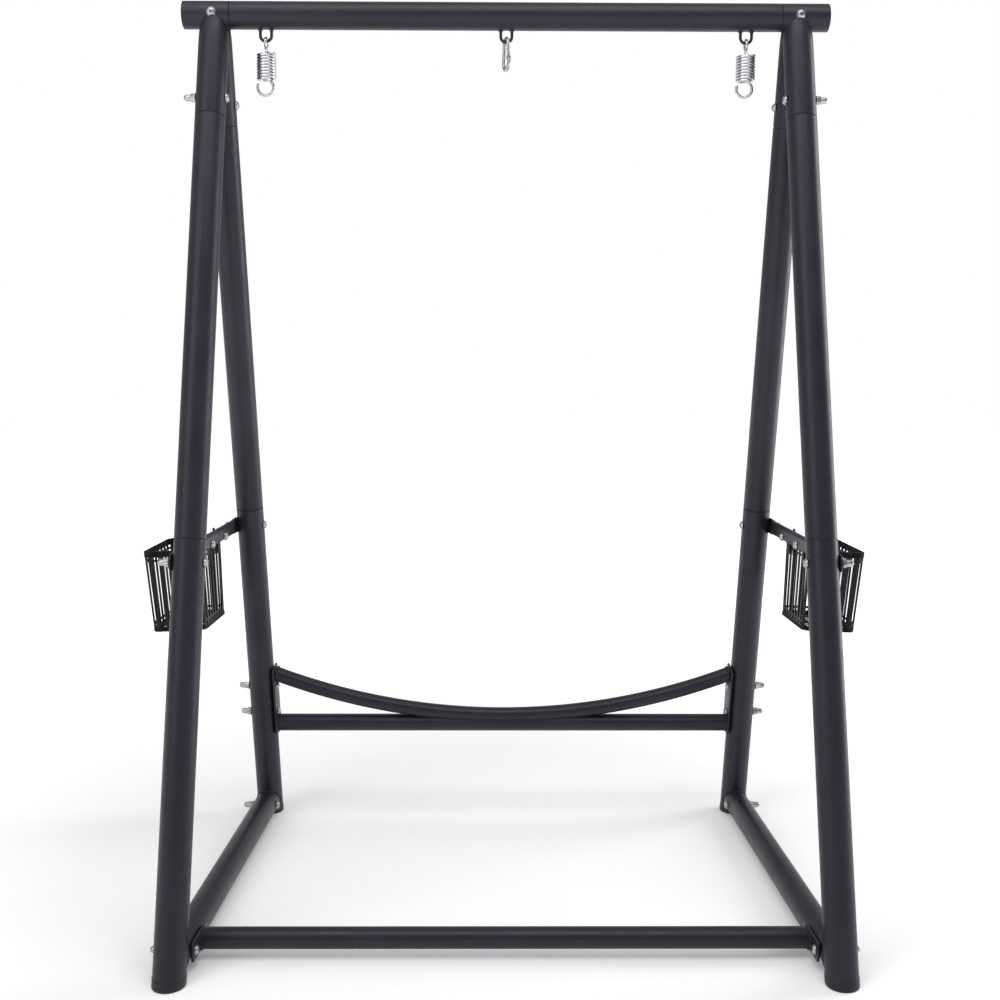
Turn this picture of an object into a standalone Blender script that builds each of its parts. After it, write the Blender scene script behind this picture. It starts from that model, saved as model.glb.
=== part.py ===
"""A-frame stand for a porch swing: tube frame, hanging springs, snap hook and side baskets.

Metres, +Z up, front towards -Y.  The origin is on the floor, midway between the four feet.
Each end frame lies in its own upright plane.  A place in it is given by `front` (distance ahead
of the plane's middle), `out` (distance outside the plane) and the height z.
"""
import math

import bmesh
import bpy
from mathutils import Matrix, Quaternion, Vector

# ---- driving dimensions -------------------------------------------------------------------
HEIGHT = 1.83                     # floor to the top of the bar
BAR_LENGTH = 1.30                 # over both end plugs
BAR_RADIUS = 0.0275
LEG_RADIUS = 0.030
CROSS_RADIUS = 0.020              # front cross rail and straight rear tube
ARC_RADIUS = 0.017                # tube of the arched rear brace
WALL = 0.0015
GAP = 0.0003                      # clearance between touching pieces

SIDE_SPACING = 1.172              # between the end frames, measured at the bar
TOE = math.radians(2.25)          # the end frames open a little towards the front
REACH = 0.43                      # a foot's distance ahead of or behind the bar
BAR_Z = HEIGHT - BAR_RADIUS
LEAN = math.atan(REACH / BAR_Z)
LEG_LENGTH = math.hypot(REACH, BAR_Z)

# ---- distances along a leg, from the bar's axis -------------------------------------------
STUB_FLARE = (0.005, 0.045)       # a connector stub widens to a leg's size between these
STUB_END = 0.215
STUB_BOLT = 0.176
LEG_SEAM = 1.055
BRACE_BOLT = 1.0985
SWAGE = 0.070                     # length of a reduced tube end inside the next tube

# ---- sleeves at the ends of the bar -------------------------------------------------------
SLEEVE_IN = 0.554
SLEEVE_OUT = 0.6475
SLEEVE_BOLT_X = 0.588
SLEEVE_WALL = 0.0020

# ---- lower frame --------------------------------------------------------------------------
RAIL_Z = 0.036
RAIL_RADIUS = 0.0275
RAIL_STUB_END = 0.345
RAIL_BOLT = 0.368
RAIL_STUB_DEPTH = 0.3815
RAIL_SWAGE = 0.034
FRONT_RAIL = 0.320
PLATE = 0.004                     # thickness of the welded end plates
FRONT_PLATE = (0.095, 0.036)      # length, height
FRONT_PLATE_CORNER = 0.006
FRONT_PLATE_MIDDLE = 0.3375
REAR_TUBE_Z = 0.239
REAR_PLATE = (0.048, 0.172)       # width, length along the leg
REAR_PLATE_CORNER = 0.008
REAR_PLATE_Z = 0.3005
REAR_BOLT_Z = (0.3354, 0.2680)
ARC_MIDDLE_Z = 0.2591
ARC_END = (0.5327, 0.3632)        # x and z where the arch meets the end plates
CAP_HEIGHT = 0.0175
CAP_FLOOR = 0.004
CAP_RADIUS = LEG_RADIUS + 0.0014

# ---- braces and baskets -------------------------------------------------------------------
BRACE_Z = BAR_Z - BRACE_BOLT * math.cos(LEAN)
BRACE_HEIGHT = 0.031
BRACE_DEPTH = 0.014
BRACE_END = (0.036, 0.005)        # height and depth of the flattened, round ends
BRACE_FLAT = 0.233                # the ends are flat from here outwards
BRACE_FULL = 0.205                # and the tube has its full section up to here
BRACE_MIDDLE = LEG_RADIUS + GAP + BRACE_END[1] / 2
BRACE_INNER = BRACE_MIDDLE - BRACE_DEPTH / 2
BRACE_OUTER = BRACE_MIDDLE + BRACE_DEPTH / 2
BASKET_BOLTS = (-0.012, -0.121)
BASKET_BOLT_Z = 0.7272
BASKET_TOP = (-0.160, 0.030, 0.0435, 0.1610, 0.719)      # back, front, inner, outer, z
BASKET_BOTTOM = (-0.152, 0.016, 0.0345, 0.1460, 0.548)
BASKET_WALL = 0.003
BASKET_TILT = 0.052               # drop of the rim from the brace outwards, per metre
BASKET_CORNER = 0.014
EARS = (                          # place, width, foot and top of the tabs behind the brace
    (-0.0120, 0.0140, 0.690, 0.7440),
    (-0.1210, 0.0140, 0.690, 0.7440),
    (-0.0845, 0.0120, 0.690, 0.7515))
EAR_CORNER = 0.0055

# ---- hanging hardware ---------------------------------------------------------------------
LOOP_X = 0.484
LOOP_ROD = 0.003
LOOP_HALF = 0.01125
LOOP_Z = 1.7515                   # axis of the rod at the bottom of a loop
SPRING_WIRE = 0.003
EYE_RADIUS = 0.0095
COIL_RADIUS = 0.0195
COIL_TOP = 1.7295
COIL_BOTTOM = 1.6725
HOOK_RADIUS = 0.0158
HOOK_SHIFT = -0.002
HOOK_Z = 1.6605
CARABINER_ROD = 0.0038
CARABINER_BOTTOM = 1.6932
CARABINER_TWIST = math.radians(20)
CARABINER_SMALL = 0.0097          # centre-line radius of the narrow upper end
CARABINER_LARGE = 0.0140          # and of the wide lower end
GATE_RADIUS = 0.0031
GATE_START = 0.0045               # gate, body end and pin, up the gate from the lower bend
BODY_END = 0.0030
GATE_PIN = 0.0065
GATE_NOSE = 0.0012                # the gate stops this far short of the upper bend
PIN_RADIUS = 0.0011
TONGUE = (0.0024, 0.0050, 0.0120)     # thickness, width and length of the hinge tongue
TONGUE_MIDDLE = 0.0035
GATE_SLOT = (0.0032, 0.0100, 0.0170)

# ---- bolts --------------------------------------------------------------------------------
SHANK = 0.004
HOLE = 0.0044
WASHER = (0.0095, 0.0015)         # radius, thickness
HEAD = (0.0083, 0.0046)
NUT_HALF = 0.0076                 # across the flats
NUT_HEX = 0.0080
NUT_DOME = (0.0066, 0.0145)       # radius, height

# ---- facets -------------------------------------------------------------------------------
TUBE_SIDES = 16
HOLE_SIDES = 8
BOLT_SIDES = 8

# ---- materials: colour, roughness, metallic -----------------------------------------------
PAINT = ("painted_steel", (0.030, 0.031, 0.035), 0.42, 0.0)
BRIGHT = ("bright_zinc", (0.62, 0.63, 0.65), 0.28, 1.0)
SPRING = ("spring_steel", (0.60, 0.61, 0.64), 0.25, 1.0)
PLASTIC = ("black_plastic", (0.015, 0.015, 0.016), 0.55, 0.0)
WICKER = ("black_wicker", (0.012, 0.012, 0.014), 0.30, 0.0)

SIDES = ((-1, "left"), (1, "right"))
ENDS = ((1, "front"), (-1, "rear"))
X_AXIS = Vector((1, 0, 0))
Y_AXIS = Vector((0, 1, 0))


# ---- scene --------------------------------------------------------------------------------
def clear_scene():
    for obj in list(bpy.data.objects):
        bpy.data.objects.remove(obj, do_unlink=True)


def new_collection(name):
    group = bpy.data.collections.new(name)
    bpy.context.scene.collection.children.link(group)
    return group


clear_scene()
PARTS = new_collection("porch_swing_stand")
CUTTERS = new_collection("cutters")


def material(look):
    name, colour, roughness, metallic = look
    found = bpy.data.materials.get(name)
    if found:
        return found
    made = bpy.data.materials.new(name)
    made.use_nodes = True
    shader = made.node_tree.nodes["Principled BSDF"]
    shader.inputs["Base Color"].default_value = (*colour, 1.0)
    shader.inputs["Roughness"].default_value = roughness
    shader.inputs["Metallic"].default_value = metallic
    made.diffuse_color = (*colour, 1.0)
    return made


def add(name, mesh, look):
    """Put a mesh in the parts collection, or among the cutters when it has no look."""
    obj = bpy.data.objects.new(name, mesh)
    if look is None:
        CUTTERS.objects.link(obj)
        obj.hide_render = True
        obj.display_type = "WIRE"
        return obj
    PARTS.objects.link(obj)
    mesh.materials.clear()
    mesh.materials.append(material(look))
    return obj


def evaluated_mesh(obj):
    bpy.context.view_layer.update()
    graph = bpy.context.evaluated_depsgraph_get()
    return bpy.data.meshes.new_from_object(obj.evaluated_get(graph))


def combine(obj, tool, operation):
    change = obj.modifiers.new(tool.name, "BOOLEAN")
    change.operation = operation
    change.solver = "EXACT"
    change.object = tool


def cut(obj, tool):
    combine(obj, tool, "DIFFERENCE")


def join(obj, tool):
    combine(obj, tool, "UNION")


def smooth(mesh):
    mesh.shade_smooth()
    mesh.set_sharp_from_angle(angle=math.radians(35))


# ---- places in an end frame ---------------------------------------------------------------
def spot(side, front, out, z):
    across = Vector((side * math.cos(TOE), math.sin(TOE), 0))
    ahead = Vector((side * math.sin(TOE), -math.cos(TOE), 0))
    return Vector((side * SIDE_SPACING / 2, 0, z)) + out * across + front * ahead


def leg_spot(side, end, along, out=0.0):
    return spot(side, end * along * math.sin(LEAN), out, BAR_Z - along * math.cos(LEAN))


def leg_front(z):
    """How far ahead of the plane's middle a front leg's axis is at height z."""
    return (BAR_Z - z) * math.tan(LEAN)


def inside(bore):
    """The largest radius that turns freely in a faceted bore."""
    return bore * math.cos(math.pi / TUBE_SIDES) - GAP


def around(radius):
    """The smallest faceted bore that a tube of this radius clears."""
    return radius / math.cos(math.pi / TUBE_SIDES) + GAP


# ---- shapes -------------------------------------------------------------------------------
def aim(obj, start, direction, roll=0.0):
    obj.location = start
    obj.rotation_mode = "QUATERNION"
    obj.rotation_quaternion = direction.to_track_quat("Z", "Y") @ Quaternion((0, 0, 1), roll)
    return obj


def turned(name, profile, sides, start, direction, look=None, closed=True, roll=0.0):
    """Turn (radius, height) points, listed down the outside, about the line from start.

    The roll sets the facets of crossing tubes apart, so that no edges meet end to end.
    """
    count = len(profile)
    edges = [(index, index + 1) for index in range(count - 1)]
    if closed:
        edges.append((count - 1, 0))
    mesh = bpy.data.meshes.new(name)
    mesh.from_pydata([(radius, 0, height) for radius, height in profile], edges, [])
    obj = add(name, mesh, look)
    screw = obj.modifiers.new("turn", "SCREW")
    screw.steps = sides
    screw.render_steps = sides
    screw.use_merge_vertices = True
    screw.merge_threshold = 0.00001
    screw.use_smooth_shade = True
    return aim(obj, start, direction, roll)


def swaged_tube(name, radius, reduced, low, high, swage, start, direction, sides=TUBE_SIDES):
    """A painted tube from low to high along its line, with a reduced end beyond each shoulder."""
    tip_low = low - swage
    tip_high = high + swage
    profile = [
        (reduced, tip_high), (reduced, high), (radius, high), (radius, low),
        (reduced, low), (reduced, tip_low), (reduced - WALL, tip_low), (reduced - WALL, low + WALL),
        (radius - WALL, low + WALL), (radius - WALL, high - WALL), (reduced - WALL, high - WALL),
        (reduced - WALL, tip_high)]
    return turned(name, profile, sides, start, direction, PAINT)


def rods(name, lines, look=None, sides=TUBE_SIDES, roll=0.0):
    """Closed cylinders, each from a start to an end with a radius, in one mesh."""
    work = bmesh.new()
    for start, end, radius in lines:
        run = end - start
        turn = (run.to_track_quat("Z", "Y") @ Quaternion((0, 0, 1), roll)).to_matrix().to_4x4()
        place = Matrix.Translation((start + end) / 2) @ turn
        bmesh.ops.create_cone(
            work, cap_ends=True, segments=sides, radius1=radius, radius2=radius,
            depth=run.length, matrix=place)
    mesh = bpy.data.meshes.new(name)
    work.to_mesh(mesh)
    work.free()
    smooth(mesh)
    return add(name, mesh, look)


def block(name, low, high, look=None):
    low = Vector(low)
    high = Vector(high)
    size = high - low
    work = bmesh.new()
    bmesh.ops.create_cube(work, size=1.0, matrix=Matrix.Diagonal((*size, 1.0)))
    mesh = bpy.data.meshes.new(name)
    work.to_mesh(mesh)
    work.free()
    obj = add(name, mesh, look)
    obj.location = (low + high) / 2
    return obj


def slab(name, thickness, length, height, corner, look=None, segments=3):
    """A plate standing in the YZ plane, with rounded corners."""
    work = bmesh.new()
    size = Matrix.Diagonal((thickness, length, height, 1.0))
    bmesh.ops.create_cube(work, size=1.0, matrix=size)
    corners = [edge for edge in work.edges if abs((edge.verts[0].co - edge.verts[1].co).x) > 1e-6]
    bmesh.ops.bevel(
        work, geom=corners, offset=corner, segments=segments, profile=0.5, affect="EDGES")
    mesh = bpy.data.meshes.new(name)
    work.to_mesh(mesh)
    work.free()
    smooth(mesh)
    return add(name, mesh, look)


def wire(name, points, radius, look=None, resolution=2, closed=False):
    """A round wire through the points, as a closed mesh in world places."""
    curve = bpy.data.curves.new(name, "CURVE")
    curve.dimensions = "3D"
    curve.bevel_depth = radius
    curve.bevel_resolution = resolution
    curve.use_fill_caps = not closed
    spline = curve.splines.new("POLY")
    spline.points.add(len(points) - 1)
    spline.use_cyclic_u = closed
    for knot, point in zip(spline.points, points):
        knot.co = (*point, 1.0)
    guide = bpy.data.objects.new(name + "_guide", curve)
    CUTTERS.objects.link(guide)
    mesh = evaluated_mesh(guide)
    bpy.data.objects.remove(guide, do_unlink=True)
    work = bmesh.new()
    work.from_mesh(mesh)
    bmesh.ops.remove_doubles(work, verts=work.verts, dist=0.00001)
    bmesh.ops.recalc_face_normals(work, faces=work.faces)
    work.to_mesh(mesh)
    work.free()
    smooth(mesh)
    return add(name, mesh, look)


def circle_points(centre, radius, first, last, steps, across, up):
    """Points on an arc, from angle first to last in degrees, in the plane of two directions."""
    points = []
    for step in range(steps + 1):
        angle = math.radians(first + (last - first) * step / steps)
        points.append(centre + radius * (math.cos(angle) * across + math.sin(angle) * up))
    return points


def set_origin(obj, place):
    """Move an unrotated object's origin to a place without moving its shape."""
    offset = Vector(place) - obj.location
    obj.data.transform(Matrix.Translation(-offset))
    obj.location = place


# ---- bolts --------------------------------------------------------------------------------
BOLT_MESHES = {}


def bolt_mesh(grip):
    """Button head, two washers, shank and cap nut; the grip starts at the origin along +Z."""
    key = round(grip, 4)
    if key in BOLT_MESHES:
        return BOLT_MESHES[key]
    wide, thick = WASHER
    head, tall = HEAD
    dome, rise = NUT_DOME
    top = grip + thick + NUT_HEX
    profile = [
        (0, top + rise), (dome * 0.45, top + rise * 0.94), (dome * 0.85, top + rise * 0.6),
        (dome, top), (dome, grip + thick),
        (wide, grip + thick), (wide, grip), (SHANK, grip), (SHANK, 0), (wide, 0), (wide, -thick),
        (head, -thick), (head * 0.72, -thick - tall * 0.75), (0, -thick - tall)]
    body = turned("bolt_body", profile, BOLT_SIDES, Vector(), Vector((0, 0, 1)), closed=False)
    flats = Vector((0, 0, grip + thick))
    corner = NUT_HALF / math.cos(math.pi / 6)
    hexagon = rods("nut", [(flats - Vector((0, 0, thick / 2)), Vector((0, 0, top)), corner)], sides=6)
    join(body, hexagon)
    BOLT_MESHES[key] = evaluated_mesh(body)
    for scrap in (body, hexagon):
        bpy.data.objects.remove(scrap, do_unlink=True)
    return BOLT_MESHES[key]


def bolt(name, start, end):
    """A bolt whose head bears at start and whose cap nut bears at end."""
    run = end - start
    aim(add(name, bolt_mesh(run.length), BRIGHT), start, run)


def hole(start, end):
    """A line for the drill, run past both ends."""
    run = (end - start).normalized() * 0.02
    return (start - run, end + run, HOLE)


# ---- top bar and corner connectors --------------------------------------------------------
def top_bar():
    reduced = inside(BAR_RADIUS - SLEEVE_WALL)
    shoulder = SLEEVE_IN - GAP
    bar = swaged_tube(
        "top_crossbar", BAR_RADIUS, reduced, -shoulder, shoulder, SWAGE + 0.006,
        Vector((0, 0, BAR_Z)), X_AXIS, sides=20)
    drill = []
    for side, _ in SIDES:
        place = Vector((side * SLEEVE_BOLT_X, 0, BAR_Z))
        drill.append(hole(place - BAR_RADIUS * Y_AXIS, place + BAR_RADIUS * Y_AXIS))
    cut(bar, rods("bar_holes", drill, sides=HOLE_SIDES))


def corner_connector(side, word):
    name = word + "_corner_connector"
    inner = Vector((side * SLEEVE_IN, 0, BAR_Z))
    outer = Vector((side * SLEEVE_OUT, 0, BAR_Z))
    sleeve = rods(name, [(inner, outer, BAR_RADIUS)], PAINT, 20)
    neck, full = STUB_FLARE
    flare = [(0, STUB_END), (LEG_RADIUS, STUB_END), (LEG_RADIUS, full), (BAR_RADIUS - 0.0011, neck),
             (0, neck)]
    for end, place in ENDS:
        direction = leg_spot(side, end, 1) - leg_spot(side, end, 0)
        start = leg_spot(side, end, 0)
        stub = turned(
            f"{word}_{place}_stub", flare, TUBE_SIDES, start, direction, closed=False,
            roll=0.06 + 0.05 * end)
        join(sleeve, stub)
    bores = []
    for end, place in ENDS:
        top = leg_spot(side, end, full)
        bottom = leg_spot(side, end, STUB_END + 0.02)
        line = [(top, bottom, LEG_RADIUS - WALL)]
        bores.append(rods(f"{word}_{place}_stub_bore", line, roll=0.08 + 0.05 * end))
    join(bores[0], bores[1])
    cut(sleeve, bores[0])
    past = 0.02 * side * X_AXIS
    ring = BAR_RADIUS - SLEEVE_WALL
    cut(sleeve, rods(word + "_sleeve_bore", [(inner - past, outer + past, ring)], sides=20))
    drill = []
    for end, _ in ENDS:
        drill.append(hole(leg_spot(side, end, STUB_BOLT, -LEG_RADIUS),
                          leg_spot(side, end, STUB_BOLT, LEG_RADIUS)))
    cut(sleeve, rods(word + "_stub_holes", drill, sides=HOLE_SIDES))
    middle = Vector((side * SLEEVE_BOLT_X, 0, BAR_Z))
    cut(sleeve, spot_faced_hole(word + "_sleeve_hole", middle))
    bolt(word + "_sleeve_bolt", middle - (BAR_RADIUS + GAP) * Y_AXIS,
         middle + (BAR_RADIUS + GAP) * Y_AXIS)


def spot_faced_hole(name, middle):
    """A bolt hole through the sleeve with a level seat for a washer at each end."""
    face = BAR_RADIUS + GAP / 2
    seat = WASHER[0] + 0.0008
    past = face + 0.03
    profile = [
        (0, past), (seat, past), (seat, face), (HOLE, face), (HOLE, -face), (seat, -face),
        (seat, -past), (0, -past)]
    return turned(name, profile, 12, middle, Y_AXIS, closed=False)


def end_plug(side, word):
    """A domed plug pressed into the open end of a sleeve."""
    ring = inside(BAR_RADIUS - SLEEVE_WALL)
    lip = SLEEVE_OUT + GAP
    crown = BAR_LENGTH / 2
    start = Vector((0, 0, BAR_Z))
    profile = [
        (0, crown), (BAR_RADIUS * 0.82, crown - 0.0006), (BAR_RADIUS, lip + 0.0006),
        (BAR_RADIUS, lip), (ring, lip), (ring, lip - 0.012), (0, lip - 0.012)]
    turned(word + "_end_plug", profile, TUBE_SIDES, start, side * X_AXIS, PLASTIC, closed=False)


def hanging_loop(x, name):
    centre = Vector((x, 0, LOOP_Z + LOOP_HALF))
    up = Vector((0, 0, 1))
    bend = circle_points(centre, LOOP_HALF, -180, 0, 8, X_AXIS, up)
    top = BAR_Z - BAR_RADIUS - GAP
    left = Vector((x - LOOP_HALF, 0, top))
    right = Vector((x + LOOP_HALF, 0, top))
    wire(name, [left, *bend, right], LOOP_ROD, PAINT)


# ---- legs ---------------------------------------------------------------------------------
def upper_leg(side, word, end, place):
    name = f"{word}_{place}_upper_leg"
    start = leg_spot(side, end, 0)
    direction = leg_spot(side, end, 1) - start
    leg = swaged_tube(
        name, LEG_RADIUS, inside(LEG_RADIUS - WALL), STUB_END + GAP, LEG_SEAM - GAP, SWAGE,
        start, direction)
    drill = []
    for along in (STUB_BOLT, BRACE_BOLT):
        drill.append(hole(leg_spot(side, end, along, -LEG_RADIUS),
                          leg_spot(side, end, along, LEG_RADIUS)))
    cut(leg, rods(name + "_holes", drill, sides=HOLE_SIDES))


def lower_leg(side, word, end, place):
    name = f"{word}_{place}_lower_leg"
    below = LEG_LENGTH + 0.04
    top = leg_spot(side, end, LEG_SEAM)
    leg = rods(name, [(top, leg_spot(side, end, below), LEG_RADIUS)], PAINT)
    at_leg = spot(side, end * leg_front(RAIL_Z), 0, RAIL_Z)
    at_rail = spot(side, end * RAIL_STUB_END, 0, RAIL_Z)
    join(leg, rods(name + "_rail_stub", [(at_leg, at_rail, RAIL_RADIUS)], roll=0.07))
    depth = spot(side, end * RAIL_STUB_DEPTH, 0, RAIL_Z)
    past = spot(side, end * (RAIL_STUB_END - 0.02), 0, RAIL_Z)
    bores = [
        (leg_spot(side, end, LEG_SEAM - 0.02), leg_spot(side, end, below + 0.02), LEG_RADIUS - WALL),
        (depth, past, RAIL_RADIUS - WALL)]
    cut(leg, rods(name + "_bores", bores, roll=0.03))
    drill = [
        hole(leg_spot(side, end, BRACE_BOLT, -LEG_RADIUS),
             leg_spot(side, end, BRACE_BOLT, LEG_RADIUS)),
        hole(spot(side, end * RAIL_BOLT, -RAIL_RADIUS, RAIL_Z),
             spot(side, end * RAIL_BOLT, RAIL_RADIUS, RAIL_Z))]
    if end < 0:
        for height in REAR_BOLT_Z:
            back = -leg_front(height)
            drill.append(hole(spot(side, back, -LEG_RADIUS, height),
                              spot(side, back, LEG_RADIUS, height)))
    cut(leg, rods(name + "_holes", drill, sides=HOLE_SIDES))
    cut(leg, block(name + "_ground", (-1, -1, -0.1), (1, 1, CAP_FLOOR + GAP)))


def foot_cap(side, word, end, place):
    """A plastic shoe on the bottom of a leg, flat on the floor and let in round the rail stub."""
    name = f"{word}_{place}_foot_cap"
    start = leg_spot(side, end, LEG_LENGTH + 0.03)
    upper = leg_spot(side, end, LEG_LENGTH - 0.06)
    cap = rods(name, [(upper, start, CAP_RADIUS)], PLASTIC)
    reach = 1.0
    cut(cap, block(name + "_ground", (-reach, -reach, -0.1), (reach, reach, 0)))
    cut(cap, block(name + "_top", (-reach, -reach, CAP_HEIGHT), (reach, reach, 0.2)))
    leg = rods(name + "_leg", [(leg_spot(side, end, LEG_LENGTH - 0.1), start, LEG_RADIUS + GAP)])
    cut(leg, block(name + "_floor", (-reach, -reach, -0.1), (reach, reach, CAP_FLOOR)))
    cut(cap, leg)
    stub_end = spot(side, end * (RAIL_STUB_END + 0.02), 0, RAIL_Z)
    axis = spot(side, end * leg_front(RAIL_Z), 0, RAIL_Z)
    cut(cap, rods(name + "_stub", [(stub_end, axis, around(RAIL_RADIUS))]))


# ---- rails --------------------------------------------------------------------------------
def side_rail(side, word):
    middle = spot(side, 0, 0, RAIL_Z)
    ahead = spot(side, 1, 0, RAIL_Z) - middle
    shoulder = RAIL_STUB_END - GAP
    rail = swaged_tube(
        word + "_side_rail", RAIL_RADIUS, inside(RAIL_RADIUS - WALL), -shoulder, shoulder,
        RAIL_SWAGE, middle, ahead)
    drill = []
    for end, _ in ENDS:
        drill.append(hole(spot(side, end * RAIL_BOLT, -RAIL_RADIUS, RAIL_Z),
                          spot(side, end * RAIL_BOLT, RAIL_RADIUS, RAIL_Z)))
    cut(rail, rods(word + "_rail_holes", drill, sides=HOLE_SIDES))


def end_plate(name, side, front, z, inner_face, size, corner, lean):
    """A plate against the inner side of an end frame, turned with the frame."""
    width, height = size
    plate = slab(name, PLATE, width, height, corner)
    plate.location = spot(side, front, -(inner_face + GAP + PLATE / 2), z)
    plate.rotation_euler = (lean, 0, side * TOE)
    return plate


def front_cross_rail():
    ends = []
    plates = []
    for side, word in SIDES:
        ends.append(spot(side, FRONT_RAIL, -(RAIL_RADIUS + GAP + PLATE * 0.7), RAIL_Z))
        plates.append(end_plate(
            word + "_front_plate", side, FRONT_PLATE_MIDDLE, RAIL_Z, RAIL_RADIUS, FRONT_PLATE,
            FRONT_PLATE_CORNER, 0))
    rail = rods("front_cross_rail", [(*ends, CROSS_RADIUS)], PAINT)
    for plate in plates:
        join(rail, plate)
    run = (ends[1] - ends[0]).normalized() * 0.02
    bore = [(ends[0] - run, ends[1] + run, CROSS_RADIUS - WALL)]
    cut(rail, rods("front_rail_bore", bore))
    drill = []
    for side, _ in SIDES:
        drill.append(hole(spot(side, RAIL_BOLT, -RAIL_RADIUS - PLATE, RAIL_Z),
                          spot(side, RAIL_BOLT, -RAIL_RADIUS, RAIL_Z)))
    cut(rail, rods("front_rail_holes", drill, sides=HOLE_SIDES))


def rear_tube_line():
    """The straight rear tube's ends, inside the two end plates."""
    back = -leg_front(REAR_TUBE_Z)
    reach = LEG_RADIUS + GAP + PLATE * 0.7
    return [spot(side, back, -reach, REAR_TUBE_Z) for side, _ in SIDES]


def rear_crossbar():
    ends = rear_tube_line()
    tube = rods("rear_crossbar", [(*ends, CROSS_RADIUS)], PAINT)
    drill = []
    for side, word in SIDES:
        plate = end_plate(
            word + "_rear_plate", side, -leg_front(REAR_PLATE_Z), REAR_PLATE_Z, LEG_RADIUS,
            REAR_PLATE, REAR_PLATE_CORNER, LEAN)
        join(tube, plate)
        for height in REAR_BOLT_Z:
            back = -leg_front(height)
            drill.append(hole(spot(side, back, -LEG_RADIUS - PLATE, height),
                              spot(side, back, -LEG_RADIUS, height)))
    run = (ends[1] - ends[0]).normalized() * 0.02
    bore = [(ends[0] - run, ends[1] + run, CROSS_RADIUS - WALL)]
    cut(tube, rods("rear_bore", bore))
    cut(tube, rods("rear_holes", drill, sides=HOLE_SIDES))


def arc_path(overrun):
    """The arch's centre line, in the plane of the rear legs, run past its ends by an angle."""
    up = Vector((0, -math.sin(LEAN), math.cos(LEAN)))
    end_x, end_z = ARC_END
    rise = (end_z - ARC_MIDDLE_Z) / math.cos(LEAN)
    radius = (end_x ** 2 + rise ** 2) / (2 * rise)
    half = math.degrees(math.asin(end_x / radius)) + overrun
    back = leg_front(ARC_MIDDLE_Z) * math.cos(TOE)
    centre = Vector((0, back, ARC_MIDDLE_Z)) + radius * up
    return circle_points(centre, radius, -90 - half, -90 + half, 24, X_AXIS, up)


def rear_arc():
    """The arched tube, fitted over the straight one at mid-span and butted to the end plates."""
    arc = wire("rear_arc_tube", arc_path(1.5), ARC_RADIUS, PAINT, resolution=4)
    cut(arc, wire("arc_bore", arc_path(2.5), ARC_RADIUS - WALL, resolution=3))
    ends = rear_tube_line()
    cut(arc, rods("arc_notch", [(*ends, around(CROSS_RADIUS))], roll=0.05))
    clear = LEG_RADIUS + GAP + PLATE + GAP
    for side, word in SIDES:
        trim = block(word + "_arc_trim", (-0.1, -0.3, -0.2), (0.1, 0.3, 0.2))
        trim.location = spot(side, -leg_front(REAR_PLATE_Z), 0.1 - clear, REAR_PLATE_Z)
        trim.rotation_euler.z = side * TOE
        cut(arc, trim)


# ---- braces and baskets -------------------------------------------------------------------
def lofted(name, side, stations, look=None):
    """A flat-oval bar along an end frame, through (place, height, depth) stations."""
    work = bmesh.new()
    rings = []
    for front, height, depth in stations:
        flat = (height - depth) / 2
        ring = []
        for step in range(10):
            end = 1 if step < 5 else -1
            angle = math.pi / 4 * (step - (step > 4))
            rise = end * flat + depth / 2 * math.sin(angle)
            out = BRACE_MIDDLE + depth / 2 * math.cos(angle)
            ring.append(work.verts.new(spot(side, front, out, BRACE_Z + rise)))
        rings.append(ring)
    for ring, after in zip(rings, rings[1:]):
        for index in range(10):
            right = (index + 1) % 10
            work.faces.new((ring[index], ring[right], after[right], after[index]))
    work.faces.new(rings[0])
    work.faces.new(rings[-1])
    bmesh.ops.recalc_face_normals(work, faces=work.faces)
    mesh = bpy.data.meshes.new(name)
    work.to_mesh(mesh)
    work.free()
    smooth(mesh)
    return add(name, mesh, look)


def mirrored(half):
    """Stations for both halves of a bar, from those of the front half, outermost first."""
    return half + [(-front, height, depth) for front, height, depth in reversed(half)]


def side_brace(side, word):
    """A flat-oval tube with flattened ends, bolted across the legs and carrying the basket."""
    height, depth = BRACE_END
    bolt_at = leg_front(BRACE_Z)
    outer = []
    for degrees in (72, 48, 24, 0):
        angle = math.radians(degrees)
        outer.append((bolt_at + height / 2 * math.sin(angle), height * math.cos(angle), depth))
    outer += [(BRACE_FLAT, height, depth), (BRACE_FULL, BRACE_HEIGHT, BRACE_DEPTH)]
    inner_height = BRACE_HEIGHT - 2 * WALL
    inner = [(BRACE_FULL + 0.016, inner_height, 0.0035),
             (BRACE_FULL - 0.004, inner_height, BRACE_DEPTH - 2 * WALL)]
    brace = lofted(word + "_side_brace", side, mirrored(outer), PAINT)
    hollow = lofted(word + "_brace_hollow", side, mirrored(inner))
    drill = []
    for end, _ in ENDS:
        drill.append(hole(spot(side, end * bolt_at, BRACE_MIDDLE - depth / 2, BRACE_Z),
                          spot(side, end * bolt_at, BRACE_MIDDLE + depth / 2, BRACE_Z)))
    for front in BASKET_BOLTS:
        drill.append(hole(spot(side, front, BRACE_INNER, BASKET_BOLT_Z),
                          spot(side, front, BRACE_OUTER, BASKET_BOLT_Z)))
    join(hollow, rods(word + "_brace_holes", drill, sides=HOLE_SIDES))
    cut(brace, hollow)


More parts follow.
